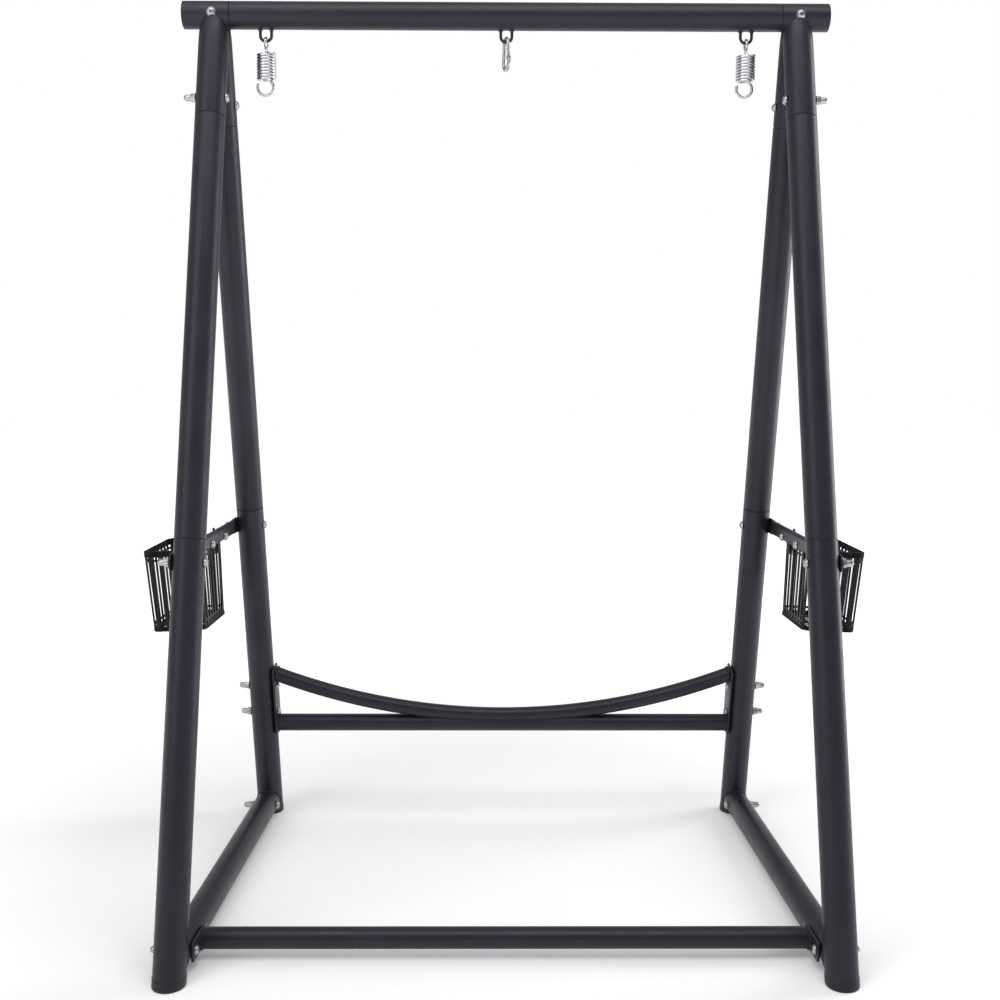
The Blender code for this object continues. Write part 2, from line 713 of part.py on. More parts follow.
def basket_mesh(name, side):
    """An open bucket with round corners, narrower at the bottom, as a sheet to be thickened."""
    work = bmesh.new()
    bmesh.ops.create_cube(work, size=1.0)
    for vert in work.verts:
        level = BASKET_TOP if vert.co.z > 0 else BASKET_BOTTOM
        back, front, inner, outer, z = level
        ahead = front if vert.co.y < 0 else back
        out = outer if vert.co.x * side > 0 else inner
        middle = (inner + outer) / 2
        vert.co = spot(side, ahead, out, z - (out - middle) * BASKET_TILT)
    lid = [face for face in work.faces if face.normal.z > 0.9]
    uprights = [edge for edge in work.edges if abs((edge.verts[0].co - edge.verts[1].co).z) > 0.1]
    bmesh.ops.delete(work, geom=lid, context="FACES_ONLY")
    bmesh.ops.bevel(
        work, geom=uprights, offset=BASKET_CORNER, segments=2, profile=0.5, affect="EDGES")
    bmesh.ops.recalc_face_normals(work, faces=work.faces)
    mesh = bpy.data.meshes.new(name)
    work.to_mesh(mesh)
    work.free()
    return mesh


def side_basket(side, word):
    name = word + "_basket"
    basket = add(name, basket_mesh(name, side), WICKER)
    shell = basket.modifiers.new("wall", "SOLIDIFY")
    shell.thickness = BASKET_WALL
    shell.offset = -1
    shell.use_even_offset = True
    ear = BRACE_OUTER + GAP
    drill = []
    seats = []
    for index, (front, width, foot, top) in enumerate(EARS):
        tab = slab(f"{name}_ear_{index + 1}", BASKET_WALL, width, top - foot, EAR_CORNER)
        tab.location = spot(side, front, ear + BASKET_WALL / 2, (foot + top) / 2)
        tab.rotation_euler.z = side * TOE
        join(basket, tab)
    for front in BASKET_BOLTS:
        drill.append(hole(spot(side, front, ear, BASKET_BOLT_Z),
                          spot(side, front, ear + BASKET_WALL, BASKET_BOLT_Z)))
        seats.append((spot(side, front, ear + BASKET_WALL + GAP / 2, BASKET_BOLT_Z),
                      spot(side, front, ear + BASKET_WALL + 0.02, BASKET_BOLT_Z),
                      WASHER[0] + 0.0012))
    cut(basket, rods(name + "_holes", drill, sides=HOLE_SIDES))
    cut(basket, rods(name + "_nut_seats", seats, sides=12))


# ---- bolts of the frame -------------------------------------------------------------------
def frame_bolts(side, word):
    end_face = BRACE_MIDDLE + BRACE_END[1] / 2 + GAP
    for end, place in ENDS:
        bolt(f"{word}_{place}_stub_bolt", leg_spot(side, end, STUB_BOLT, -LEG_RADIUS - GAP),
             leg_spot(side, end, STUB_BOLT, LEG_RADIUS + GAP))
        bolt(f"{word}_{place}_brace_bolt", leg_spot(side, end, BRACE_BOLT, -LEG_RADIUS - GAP),
             leg_spot(side, end, BRACE_BOLT, end_face))
        inner = RAIL_RADIUS + GAP
        if end > 0:
            inner += PLATE + GAP
        bolt(f"{word}_{place}_rail_bolt", spot(side, end * RAIL_BOLT, -inner, RAIL_Z),
             spot(side, end * RAIL_BOLT, RAIL_RADIUS + GAP, RAIL_Z))
    for index, height in enumerate(REAR_BOLT_Z):
        back = -leg_front(height)
        inner = LEG_RADIUS + GAP + PLATE + GAP
        bolt(f"{word}_plate_bolt_{index + 1}", spot(side, back, -inner, height),
             spot(side, back, LEG_RADIUS + GAP, height))
    for index, front in enumerate(BASKET_BOLTS):
        bolt(f"{word}_basket_bolt_{index + 1}",
             spot(side, front, BRACE_INNER - GAP, BASKET_BOLT_Z),
             spot(side, front, BRACE_OUTER + 2 * GAP + BASKET_WALL, BASKET_BOLT_Z))


# ---- springs ------------------------------------------------------------------------------
def hanging_spring(side, word):
    """Top eye through the loop, close-wound coil, and a large open hook below."""
    x = side * LOOP_X
    pivot = Vector((x, 0, LOOP_Z))
    up = Vector((0, 0, 1))
    eye_top = LOOP_Z + LOOP_ROD + GAP + SPRING_WIRE
    eye_centre = Vector((x, 0, eye_top - EYE_RADIUS))
    round_eye = circle_points(eye_centre, EYE_RADIUS, 0, 330, 11, Y_AXIS, up)
    eye = wire(word + "_spring_eye", round_eye, SPRING_WIRE, SPRING, closed=True)
    neck_top = eye_centre - EYE_RADIUS * up
    neck_bottom = Vector((x, 0, COIL_TOP + GAP))
    neck = rods(word + "_spring_neck", [(neck_bottom, neck_top, SPRING_WIRE)], sides=8)
    set_origin(eye, pivot)
    join(eye, neck)
    inner = COIL_RADIUS - 2 * SPRING_WIRE
    height = COIL_TOP - COIL_BOTTOM
    profile = [(COIL_RADIUS, 0), (COIL_RADIUS, -height), (inner, -height), (inner, 0)]
    turned(word + "_spring_coil", profile, TUBE_SIDES, Vector((x, 0, COIL_TOP)), up, SPRING)
    hook_centre = Vector((x + HOOK_SHIFT, 0, HOOK_Z))
    bend = circle_points(hook_centre, HOOK_RADIUS, 95, -195, 16, X_AXIS, up)
    hook = wire(word + "_spring_hook", bend, SPRING_WIRE, SPRING)
    set_origin(hook, (x, 0, COIL_BOTTOM))


# ---- snap hook ----------------------------------------------------------------------------
def aim_slab(obj, thickness_way, long_way):
    """Turn a slab so that its thickness and its height lie along two directions."""
    middle_way = long_way.cross(thickness_way)
    turn = Matrix((thickness_way, middle_way, long_way)).transposed()
    obj.rotation_mode = "QUATERNION"
    obj.rotation_quaternion = turn.to_quaternion()
    return obj


def snap_hook():
    """A pear-shaped snap hook on the middle loop, with a sprung gate on its front side."""
    across = Vector((math.sin(CARABINER_TWIST), -math.cos(CARABINER_TWIST), 0))
    up = Vector((0, 0, 1))
    side_on = across.cross(up)
    small, large = CARABINER_SMALL, CARABINER_LARGE
    top = Vector((0, 0, LOOP_Z + LOOP_ROD + GAP + CARABINER_ROD - small))
    bottom = Vector((0, 0, CARABINER_BOTTOM + CARABINER_ROD + large))
    slant = math.degrees(math.asin((large - small) / (top - bottom).length))
    upper = circle_points(top, small, slant, 180 - slant, 8, across, up)
    lower = circle_points(bottom, large, 180 - slant, 360 + slant, 10, across, up)
    foot = lower[-1]
    run = (upper[0] - foot).normalized()
    nose = upper[0] - GATE_NOSE * run
    pin_at = foot + GATE_PIN * run

    def pin(name, length, radius):
        return rods(name, [(pin_at - length * side_on, pin_at + length * side_on, radius)], sides=8)

    path = [*upper, *lower, foot + BODY_END * run]
    body = wire("carabiner_body", path, CARABINER_ROD, BRIGHT)
    tongue = aim_slab(slab("carabiner_tongue", *TONGUE, 0.0015), side_on, run)
    tongue.location = foot + TONGUE_MIDDLE * run
    join(body, tongue)
    join(body, pin("carabiner_pin", 0.0045, PIN_RADIUS))
    cut(body, rods("carabiner_nose", [(nose + 0.0004 * run, nose - 0.004 * run, 0.0060)], sides=12))
    gate = rods("carabiner_gate", [(foot + GATE_START * run, nose, GATE_RADIUS)], BRIGHT, 12)
    slot = aim_slab(slab("carabiner_slot", *GATE_SLOT, 0.0005), side_on, run)
    slot.location = tongue.location
    cut(gate, slot)
    cut(gate, pin("carabiner_pin_hole", 0.006, PIN_RADIUS + 0.0004))
    set_origin(body, (0, 0, LOOP_Z))
    set_origin(gate, pin_at)


# ---- assembly -----------------------------------------------------------------------------
def build():
    top_bar()
    for name, x in (("left_loop", -LOOP_X), ("middle_loop", 0.0), ("right_loop", LOOP_X)):
        hanging_loop(x, name)
    for side, word in SIDES:
        corner_connector(side, word)
        end_plug(side, word)
        for end, place in ENDS:
            upper_leg(side, word, end, place)
            lower_leg(side, word, end, place)
            foot_cap(side, word, end, place)
        side_rail(side, word)
        side_brace(side, word)
        side_basket(side, word)
        frame_bolts(side, word)
        hanging_spring(side, word)
    front_cross_rail()
    rear_crossbar()
    rear_arc()
    snap_hook()


build()
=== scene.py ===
"""Looks for the porch swing stand: painted tubes, welds, bright hardware, springs and baskets."""
import math

import bmesh
import bpy
import numpy as np
from mathutils import Matrix, Quaternion, Vector


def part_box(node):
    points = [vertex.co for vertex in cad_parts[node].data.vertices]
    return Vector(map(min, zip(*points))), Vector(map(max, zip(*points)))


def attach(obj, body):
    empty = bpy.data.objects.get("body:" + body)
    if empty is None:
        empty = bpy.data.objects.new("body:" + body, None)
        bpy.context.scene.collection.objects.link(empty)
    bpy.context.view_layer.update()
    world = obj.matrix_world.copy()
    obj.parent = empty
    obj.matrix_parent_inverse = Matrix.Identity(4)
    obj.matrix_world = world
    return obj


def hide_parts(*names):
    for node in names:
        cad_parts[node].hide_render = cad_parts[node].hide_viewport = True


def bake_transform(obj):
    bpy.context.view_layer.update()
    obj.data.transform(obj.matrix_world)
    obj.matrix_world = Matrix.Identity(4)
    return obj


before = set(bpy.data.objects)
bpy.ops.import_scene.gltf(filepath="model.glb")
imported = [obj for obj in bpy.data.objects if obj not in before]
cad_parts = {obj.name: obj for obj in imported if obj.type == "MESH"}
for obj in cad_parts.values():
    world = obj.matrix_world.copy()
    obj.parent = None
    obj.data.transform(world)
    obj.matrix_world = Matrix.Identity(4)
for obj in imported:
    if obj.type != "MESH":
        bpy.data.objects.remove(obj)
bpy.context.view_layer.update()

# ---- the stand's own sizes, in metres
BAR_LOW, BAR_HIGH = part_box("top_crossbar")
LEFT_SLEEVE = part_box("left_corner_connector")
BAR_RADIUS = (BAR_HIGH[2] - BAR_LOW[2]) / 2
BAR_Z = BAR_HIGH[2] - BAR_RADIUS
BAR_NECK = 0.0025  # how much thinner the bar is inside the sleeves
LEG_RADIUS = 0.030
WALL = 0.0015  # of every tube
NECK = 0.0022  # how much thinner a tube is inside its neighbour
NECK_SHOWN = 0.020  # how much of a narrowed end is built
EDGE = 0.0012  # the soft edge of a tube's end
CROSS_RADIUS = 0.020
ARC_RADIUS = 0.017
SIDE_SPACING = 1.172
TOE = math.radians(2.25)
REACH = 0.43
LEAN = math.atan(REACH / BAR_Z)
STUB_END = 0.215
STUB_BOLT = 0.176
LEG_SEAM = 1.055
BRACE_BOLT = 1.0985
SLEEVE_IN = 0.554
SLEEVE_OUT = -LEFT_SLEEVE[0][0]
SLEEVE_WALL = 0.002
STUB_TOP_RADIUS = 0.0268  # where the leg stubs meet the sleeve
CROTCH_DROP = 0.028
SLEEVE_BOLT_X = 0.588
RAIL_Z = 0.036
RAIL_RADIUS = 0.0275
RAIL_STUB_END = 0.345
RAIL_BOLT = 0.368
FRONT_RAIL = 0.320
PLATE = 0.004
GAP = 0.0003
PLATE_RIM = 0.0006
FRONT_PLATE = (0.095, 0.036, 0.007)  # length, height and corner radius
FRONT_PLATE_MIDDLE = 0.3375
REAR_TUBE_Z = 0.239
REAR_PLATE = (0.048, 0.172, 0.008)
REAR_PLATE_Z = 0.3005
REAR_BOLT_Z = (0.3354, 0.2680)
ARC_MIDDLE_Z = 0.2591
ARC_END = (0.5327, 0.3632)  # x and level
CAP_HEIGHT = 0.0175
FOOT_Z = 0.0085  # the level of the leg tubes' lower ends
BRACE_Z = BAR_Z - BRACE_BOLT * math.cos(LEAN)
BRACE_HEIGHT = 0.031
BRACE_DEPTH = 0.014
BRACE_END = (0.036, 0.005)  # height and depth of the flattened, round ends
BRACE_FLAT = 0.233  # where the flattened ends stop
BRACE_FULL = 0.205  # where the full oval starts
BRACE_MIDDLE = LEG_RADIUS + GAP + BRACE_END[1] / 2
BASKET_BOLTS = (-0.012, -0.121)
BASKET_BOLT_Z = 0.7272
BASKET_TOP = (-0.160, 0.030, 0.0435, 0.1610, 0.719)  # back, front, inner, outer and level
BASKET_BOTTOM = (-0.152, 0.016, 0.0345, 0.1460, 0.548)
BASKET_TILT = 0.052
EAR_FACE = BRACE_MIDDLE + BRACE_DEPTH / 2 + GAP
EAR_DEPTH = 0.003
EAR_CORNER = 0.0055
EARS = (  # middle, width, bottom and top
    (-0.012, 0.014, 0.690, 0.7440),
    (-0.121, 0.014, 0.690, 0.7440),
    (-0.0845, 0.012, 0.690, 0.7515))
BASKET_CORNER = 0.014
BASKET_INSET = -0.0018  # the weave's middle, inside the basket's outer skin
SLAT_PITCH = 0.0215
SLAT_WIDTH = 0.0084
SLAT_DEPTH = 0.0028
SLAT_ENDS = (0.02, 0.985)
TURN_STEPS = 24  # points round the basket for every slat
SCALLOP = 0.0024
RIM_BANDS = (  # bottom, top, depth and the two edges' scallops
    (-0.0125, -0.0006, 0.0016, SCALLOP, 0.0),
    (-0.0225, -0.0178, 0.0024, SCALLOP, SCALLOP))
FOOT_BANDS = (
    (0.0152, 0.0200, 0.0024, SCALLOP, SCALLOP),
    (0.0006, 0.0100, 0.0016, 0.0, SCALLOP))
ROPE_DROPS = (0.0020, 0.0062, 0.0104)  # below the rim
ROPE_RISES = (0.0022, 0.0064)  # above the foot
ROPE_PITCH = 0.0108
ROPE_RADIUS = 0.00138
ROPE_STEPS = 12  # points in every twist
FLOOR_PITCH = 0.0175
FLOOR_STRIP = (0.0075, 0.0016)
LOOP_X = 0.484
LOOP_ROD = 0.003
LOOP_HALF = 0.01125
LOOP_Z = 1.7515
WIRE = 0.003
EYE_RADIUS = 0.0095
COIL_RADIUS = 0.0195
COIL_TOP = 1.7295
COIL_BOTTOM = 1.6725
COIL_TURNS = 8.75
COIL_STEPS = 56  # points in every turn
HOOK_RADIUS = 0.0158
HOOK_SHIFT = -0.002
HOOK_Z = 1.6605
HOOK_ARC = (52, -200)  # in degrees
CARABINER_ROD = 0.0038
CARABINER_SMALL = 0.0097
CARABINER_LARGE = 0.0140
CARABINER_BOTTOM = 1.6932
CARABINER_TWIST = math.radians(20)
SHANK = 0.004
WASHER = (0.0095, 0.0015)  # radius and height, here and below
HEAD = (0.0083, 0.0046)
NUT_HALF = 0.0076
NUT_HEX = 0.0080
NUT_DOME = (0.0066, 0.0145)
SOCKET = (0.0029, 0.006)
SEAM = 0.0007  # half of the dark groove where two tubes meet
BEAD = 0.0024  # a weld bead's radius
FINE_BEAD = 0.0022
RIPPLE = 0.0021
DOME = (30, 60, 80)  # the slices of a wire's round end, in degrees
STUDIO_DIM = 0.24
STUDIO_BRIGHT = 0.58
FLOOR_GLOW = (0.14, 0.75)  # near the stand and far from it
GLOW_REACH = (0.9, 3.2)
LIGHTS = (  # place, target, size and power
    ("key", (-2.6, -2.6, 2.6), (0, 0, 0.9), (1.8, 3.0), 34),
    ("edge", (3.4, 1.0, 1.6), (0.6, 0, 0.9), (1.4, 3.0), 60),
    ("top", (0.0, -1.6, 4.4), (0, 0, 0.5), (3.8, 2.4), 85))
CAMERA_PLACE = (-0.0303, -2.6016, 1.1378)
CAMERA_TURNS = (0.081, 0.0076, 0.0027)  # pitch, yaw and roll
SENSOR = 36.0
FOCAL = 1.2606  # in sensor widths
LENS_SHIFT = -0.05

SIDES = ((-1, "left"), (1, "right"))
ENDS = ((1, "front"), (-1, "rear"))
X_AXIS = np.array((1.0, 0.0, 0.0))
Y_AXIS = np.array((0.0, 1.0, 0.0))
Z_AXIS = np.array((0.0, 0.0, 1.0))


# ---- places in an end frame
def spot(side, front, out, z):
    """A point by its distance in front of, and outside, the middle of an end frame."""
    across = np.array((side * math.cos(TOE), math.sin(TOE), 0.0))
    ahead = np.array((side * math.sin(TOE), -math.cos(TOE), 0.0))
    return np.array((side * SIDE_SPACING / 2, 0.0, z)) + out * across + front * ahead


def leg_spot(side, end, along, out=0.0):
    """A point on a leg's centre line, measured down from the bar's."""
    return spot(side, end * along * math.sin(LEAN), out, BAR_Z - along * math.cos(LEAN))


def leg_line(side, end):
    """A leg's upper end and its direction."""
    start = leg_spot(side, end, 0)
    return start, leg_spot(side, end, 1) - start


def leg_front(z):
    """How far in front of the middle a leg stands at a level."""
    return (BAR_Z - z) * math.tan(LEAN)


def side_axes(side):
    """Forwards and outwards in an end frame."""
    origin = spot(side, 0, 0, 0)
    return spot(side, 1, 0, 0) - origin, spot(side, 0, 1, 0) - origin


def unit(vector):
    return vector / np.linalg.norm(vector)


# ---- materials
EVEN = (1.0, 1.0, 1.0)


def node(tree, kind, **values):
    made = tree.nodes.new(kind)
    for name, value in values.items():
        if name in made.inputs:
            made.inputs[name].default_value = value
        else:
            setattr(made, name, value)
    return made


def ramp(tree, source, low, high, start, end):
    """Map a 0-1 value between two colours."""
    made = tree.nodes.new("ShaderNodeValToRGB")
    first, last = made.color_ramp.elements
    first.position, first.color = start, (*low, 1.0)
    last.position, last.color = end, (*high, 1.0)
    tree.links.new(source, made.inputs["Fac"])
    return made.outputs["Color"]


def span(tree, source, low, high, start=0.3, end=0.7):
    """Map a 0-1 value between two numbers."""
    ends = {"From Min": start, "From Max": end, "To Min": low, "To Max": high}
    made = node(tree, "ShaderNodeMapRange", **ends)
    tree.links.new(source, made.inputs["Value"])
    return made.outputs["Result"]


def noise(tree, scale, detail=4.0, stretch=EVEN):
    place = tree.nodes.new("ShaderNodeTexCoord")
    mapping = node(tree, "ShaderNodeMapping", Scale=stretch)
    tree.links.new(place.outputs["Object"], mapping.inputs["Vector"])
    made = node(tree, "ShaderNodeTexNoise", Scale=scale, Detail=detail)
    tree.links.new(mapping.outputs["Vector"], made.inputs["Vector"])
    return made.outputs["Fac"]


def material(name):
    made = bpy.data.materials.new(name)
    made.use_nodes = True
    return made, made.node_tree, made.node_tree.nodes["Principled BSDF"]


def bump(tree, shader, height, strength, distance):
    made = node(tree, "ShaderNodeBump", Strength=strength, Distance=distance)
    tree.links.new(height, made.inputs["Height"])
    tree.links.new(made.outputs["Normal"], shader.inputs["Normal"])


def paint(name, low, high, rough, grain=0.00012):
    """Satin powder coat: a fine pebbled skin with a slight drift in tone and gloss."""
    made, tree, shader = material(name)
    drift = noise(tree, 9.0, 3.0)
    tree.links.new(ramp(tree, drift, low, high, 0.35, 0.65), shader.inputs["Base Color"])
    tree.links.new(span(tree, noise(tree, 40.0, 5.0), *rough), shader.inputs["Roughness"])
    shader.inputs["Specular IOR Level"].default_value = 0.38
    shader.inputs["Specular Tint"].default_value = (0.90, 0.88, 1.0, 1.0)
    bump(tree, shader, noise(tree, 1400.0, 2.0), 0.35, grain)
    return made


def bright(name, low, high, rough):
    """Bright zinc with faint mottling and fine pits."""
    made, tree, shader = material(name)
    shader.inputs["Metallic"].default_value = 1.0
    mottle = noise(tree, 120.0, 6.0)
    tree.links.new(ramp(tree, mottle, low, high, 0.3, 0.7), shader.inputs["Base Color"])
    tree.links.new(span(tree, mottle, *rough), shader.inputs["Roughness"])
    bump(tree, shader, noise(tree, 900.0, 3.0), 0.12, 0.00003)
    return made


def plastic(name, low, high, rough, scale=700.0, grain=0.0002, stretch=EVEN, gloss=0.4):
    """Moulded black plastic with a fine grain."""
    made, tree, shader = material(name)
    tree.links.new(ramp(tree, noise(tree, 60.0), low, high, 0.35, 0.7), shader.inputs["Base Color"])
    tree.links.new(span(tree, noise(tree, 150.0), *rough), shader.inputs["Roughness"])
    shader.inputs["Specular IOR Level"].default_value = gloss
    bump(tree, shader, noise(tree, scale, 3.0, stretch), 0.4, grain)
    return made


LOOKS = {
    "frame_paint": paint(
        "charcoal_powder_coat", (0.0142, 0.0138, 0.0210), (0.0180, 0.0175, 0.0262), (0.36, 0.46)),
    "weld_paint": paint(
        "painted_weld", (0.0130, 0.0126, 0.0190), (0.0178, 0.0173, 0.0256), (0.36, 0.50), 0.0003),
    "hardware": bright("bright_zinc", (0.36, 0.37, 0.37), (0.52, 0.53, 0.53), (0.24, 0.36)),
    "spring_steel": bright("plated_spring_wire", (0.52, 0.53, 0.56), (0.66, 0.66, 0.69), (0.20, 0.30)),
    "snap_hook_steel": bright("zinc_snap_hook", (0.42, 0.42, 0.43), (0.58, 0.58, 0.58), (0.28, 0.38)),
    "plug_plastic": plastic(
        "black_moulded_plastic", (0.0105, 0.0102, 0.0150), (0.0150, 0.0146, 0.0210), (0.38, 0.50)),
    "basket_weave": plastic(
        "glossy_black_weave", (0.0016, 0.0016, 0.0020), (0.0036, 0.0036, 0.0044), (0.30, 0.42),
        420.0, 0.0001, (1.0, 1.0, 0.15), 0.22),
}


# ---- mesh helpers
def finish_mesh(mesh, angle):
    """Smooth shading, but for edges sharper than the angle."""
    mesh.shade_smooth()
    mesh.set_sharp_from_angle(angle=math.radians(angle))
    return mesh


def loft(name, rings, closed_path=False, cap=True, angle=38):
    """A skin over rings of equal point counts, each an array of points."""
    count = len(rings[0])
    total = len(rings)
    faces = []
    last = total if closed_path else total - 1
    for row in range(last):
        here = row * count
        there = ((row + 1) % total) * count
        for col in range(count):
            after = (col + 1) % count
            faces.append((here + col, here + after, there + after, there + col))
    if cap and not closed_path:
        faces.append(tuple(range(count - 1, -1, -1)))
        faces.append(tuple(range((total - 1) * count, total * count)))
    mesh = bpy.data.meshes.new(name)
    mesh.from_pydata(np.concatenate(rings).tolist(), [], faces)
    return finish_mesh(cleaned(mesh), angle)


def cleaned(mesh):
    """Merge doubled points and turn the faces outwards."""
    work = bmesh.new()
    work.from_mesh(mesh)
    bmesh.ops.remove_doubles(work, verts=work.verts, dist=1e-7)
    bmesh.ops.recalc_face_normals(work, faces=work.faces)
    work.to_mesh(mesh)
    work.free()
    return mesh


def softened(points, closed=False):
    """Round the corners of a profile of (x, y) or (x, y, radius) points with short curves."""
    result = []
    total = len(points)
    for index, point in enumerate(points):
        here = np.array(point[:2], float)
        radius = point[2] if len(point) > 2 else 0.0
        at_end = not closed and index in (0, total - 1)
        if at_end or radius == 0.0:
            result.append(here)
            continue
        before = np.array(points[index - 1][:2], float)
        after = np.array(points[(index + 1) % total][:2], float)
        first = here + (before - here) * min(radius / np.linalg.norm(before - here), 0.5)
        final = here + (after - here) * min(radius / np.linalg.norm(after - here), 0.5)
        for t in (0.0, 0.2, 0.4, 0.6, 0.8, 1.0):
            result.append((1 - t) ** 2 * first + 2 * t * (1 - t) * here + t * t * final)
    return result


def axes_for(direction):
    """Two unit vectors square to a direction."""
    guide = Z_AXIS if abs(direction[2]) < 0.9 else X_AXIS
    first = unit(np.cross(guide, direction))
    return first, np.cross(direction, first)


def lathe(name, profile, start, direction, sides=64, closed=False):
    """Turn softened (radius, height) points about a line."""
    direction = unit(direction)
    first, second = axes_for(direction)
    rings = []
    angles = np.arange(sides) * 2 * math.pi / sides
    around = np.outer(np.cos(angles), first) + np.outer(np.sin(angles), second)
    for radius, height in softened(profile, closed):
        rings.append(start + height * direction + radius * around)
    return loft(name, rings, closed_path=closed, cap=False)


def frames_along(path, closed):
    """Unit tangents and steady sideways vectors along a path."""
    if closed:
        tangents = np.roll(path, -1, axis=0) - np.roll(path, 1, axis=0)
    else:
        tangents = np.gradient(path, axis=0)
    tangents = tangents / np.linalg.norm(tangents, axis=1)[:, None]
    sideways = np.zeros_like(path)
    sideways[0] = axes_for(tangents[0])[0]
    for index in range(1, len(path)):
        carried = sideways[index - 1] - tangents[index] * np.dot(sideways[index - 1], tangents[index])
        sideways[index] = unit(carried)
    if closed:
        end = sideways[-1] - tangents[0] * np.dot(sideways[-1], tangents[0])
        other = np.cross(tangents[0], sideways[0])
        slip = math.atan2(np.dot(end, other), np.dot(end, sideways[0]))
        turns = -slip * np.arange(len(path)) / len(path)
        crossed = np.cross(tangents, sideways)
        sideways = sideways * np.cos(turns)[:, None] + crossed * np.sin(turns)[:, None]
    return tangents, sideways


def sweep(name, path, radius, sides=14, closed=False, bulge=None):
    """A round wire along a path with domed ends; bulge gives a radius factor at each point."""
    path = np.asarray(path, float)
    tangents, sideways = frames_along(path, closed)
    others = np.cross(tangents, sideways)
    factors = np.ones(len(path)) if bulge is None else np.asarray(bulge)
    angles = np.arange(sides) * 2 * math.pi / sides
    rings = []
    for point, side_way, other, factor in zip(path, sideways, others, factors):
        around = np.outer(np.cos(angles), side_way) + np.outer(np.sin(angles), other)
        rings.append(point + radius * factor * around)
    if not closed:
        first = rings[0] - path[0]
        last = rings[-1] - path[-1]
        for degrees in DOME:
            shrink = math.cos(math.radians(degrees))
            push = radius * math.sin(math.radians(degrees))
            rings.insert(0, path[0] - push * tangents[0] + shrink * first)
            rings.append(path[-1] + push * tangents[-1] + shrink * last)
    return loft(name, rings, closed_path=closed)


def soft_box(left, right, low, high, corner):
    """A closed outline with softened corners."""
    return softened([
        (left, low, corner), (right, low, corner), (right, high, corner), (left, high, corner)], True)


def strap(name, path, normals, width, depth):
    """A flat strip along a path: depth along the normals, width across them."""
    path = np.asarray(path, float)
    tangents, _ = frames_along(path, False)
    outline = soft_box(-width / 2, width / 2, -depth / 2, depth / 2, depth * 0.3)
    rings = []
    for point, tangent, normal in zip(path, tangents, normals):
        across = unit(np.cross(tangent, normal))
        out = np.cross(across, tangent)
        rings.append(np.array([point + a * across + b * out for a, b in outline]))
    return loft(name, rings)


def circle(centre, radius, across, up, first, last, steps):
    """Points on an arc between two angles in degrees."""
    angles = np.radians(np.linspace(first, last, steps))
    return centre + radius * (np.outer(np.cos(angles), across) + np.outer(np.sin(angles), up))


def round_ring(centre, radius, direction, steps=72):
    """A closed circle square to a direction."""
    first, second = axes_for(unit(direction))
    return circle(centre, radius, first, second, 0.0, 360.0 * (1 - 1 / steps), steps)


def curve_through(points):
    """A smooth line through a few points."""
    steps = 12
    points = [np.asarray(point, float) for point in points]
    padded = [2 * points[0] - points[1], *points, 2 * points[-1] - points[-2]]
    line = []
    for index in range(1, len(padded) - 2):
        a, b, c, d = padded[index - 1:index + 3]
        for step in range(steps):
            t = step / steps
            line.append(0.5 * (2 * b + (c - a) * t + (2 * a - 5 * b + 4 * c - d) * t ** 2
                               + (3 * b - a - 3 * c + d) * t ** 3))
    line.append(points[-1])
    return np.array(line)


def joined(name, meshes):
    """Several meshes as one."""
    work = bmesh.new()
    for mesh in meshes:
        work.from_mesh(mesh)
    result = bpy.data.meshes.new(name)
    work.to_mesh(result)
    work.free()
    return result


def placed(name, data):
    """A new object in the scene."""
    obj = bpy.data.objects.new(name, data)
    bpy.context.scene.collection.objects.link(obj)
    return obj


def piece(name, mesh, look, body="frame", nodes=()):
    """A finished piece with its look, riding on its body."""
    obj = placed(name, mesh)
    mesh.materials.clear()
    mesh.materials.append(LOOKS[look])
    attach(obj, body)
    if nodes:
        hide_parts(*nodes)


def weld(name, path, radius=BEAD, closed=True):
    """A weld bead with its row of ripples."""
    path = np.asarray(path, float)
    steps = np.linalg.norm(np.diff(path, axis=0), axis=1)
    run = np.concatenate(([0.0], np.cumsum(steps)))
    total = run[-1] + (np.linalg.norm(path[0] - path[-1]) if closed else 0.0)
    count = max(3, round(total / RIPPLE))
    fine = np.linspace(0, total, count * 6, endpoint=not closed)
    source = np.vstack((path, path[:1])) if closed else path
    places = np.append(run, total) if closed else run
    line = np.column_stack([np.interp(fine, places, source[:, axis]) for axis in range(3)])
    bulge = 1.0 + 0.10 * np.sin(fine / total * count * 2 * math.pi)
    piece(name, sweep(name, line, radius, 10, closed, bulge), "weld_paint")


def solve(start, direction, reach, outside):
    """The place along a line at which it leaves a solid."""
    low, high = 0.0, reach
    for _ in range(40):
        middle = (low + high) / 2
        if outside(start + middle * direction):
            high = middle
        else:
            low = middle
    return start + high * direction


def away_from_line(point, start, direction):
    """A point's distance from a line."""
    offset = point - start
    return np.linalg.norm(offset - direction * np.dot(offset, direction))


def saddle(start, direction, radius, other_start, other_direction, other_radius, reach, steps=96):
    """The closed line where one tube, run out from inside another, comes through its wall."""
    direction = unit(direction)
    other_direction = unit(other_direction)
    first, second = axes_for(direction)
    line = []
    for step in range(steps):
        angle = 2 * math.pi * step / steps
        edge = start + radius * (math.cos(angle) * first + math.sin(angle) * second)
        line.append(solve(
            edge, direction, reach,
            lambda point: away_from_line(point, other_start, other_direction) > other_radius))
    return np.array(line)


# ---- top bar
def necked(radius, neck, low, high, edge, shown):
    """The profile of a tube whose narrowed ends go into its neighbours."""
    return [
        (neck, low - shown), (neck, low), (radius, low, edge), (radius, high, edge),
        (neck, high), (neck, high + shown)]


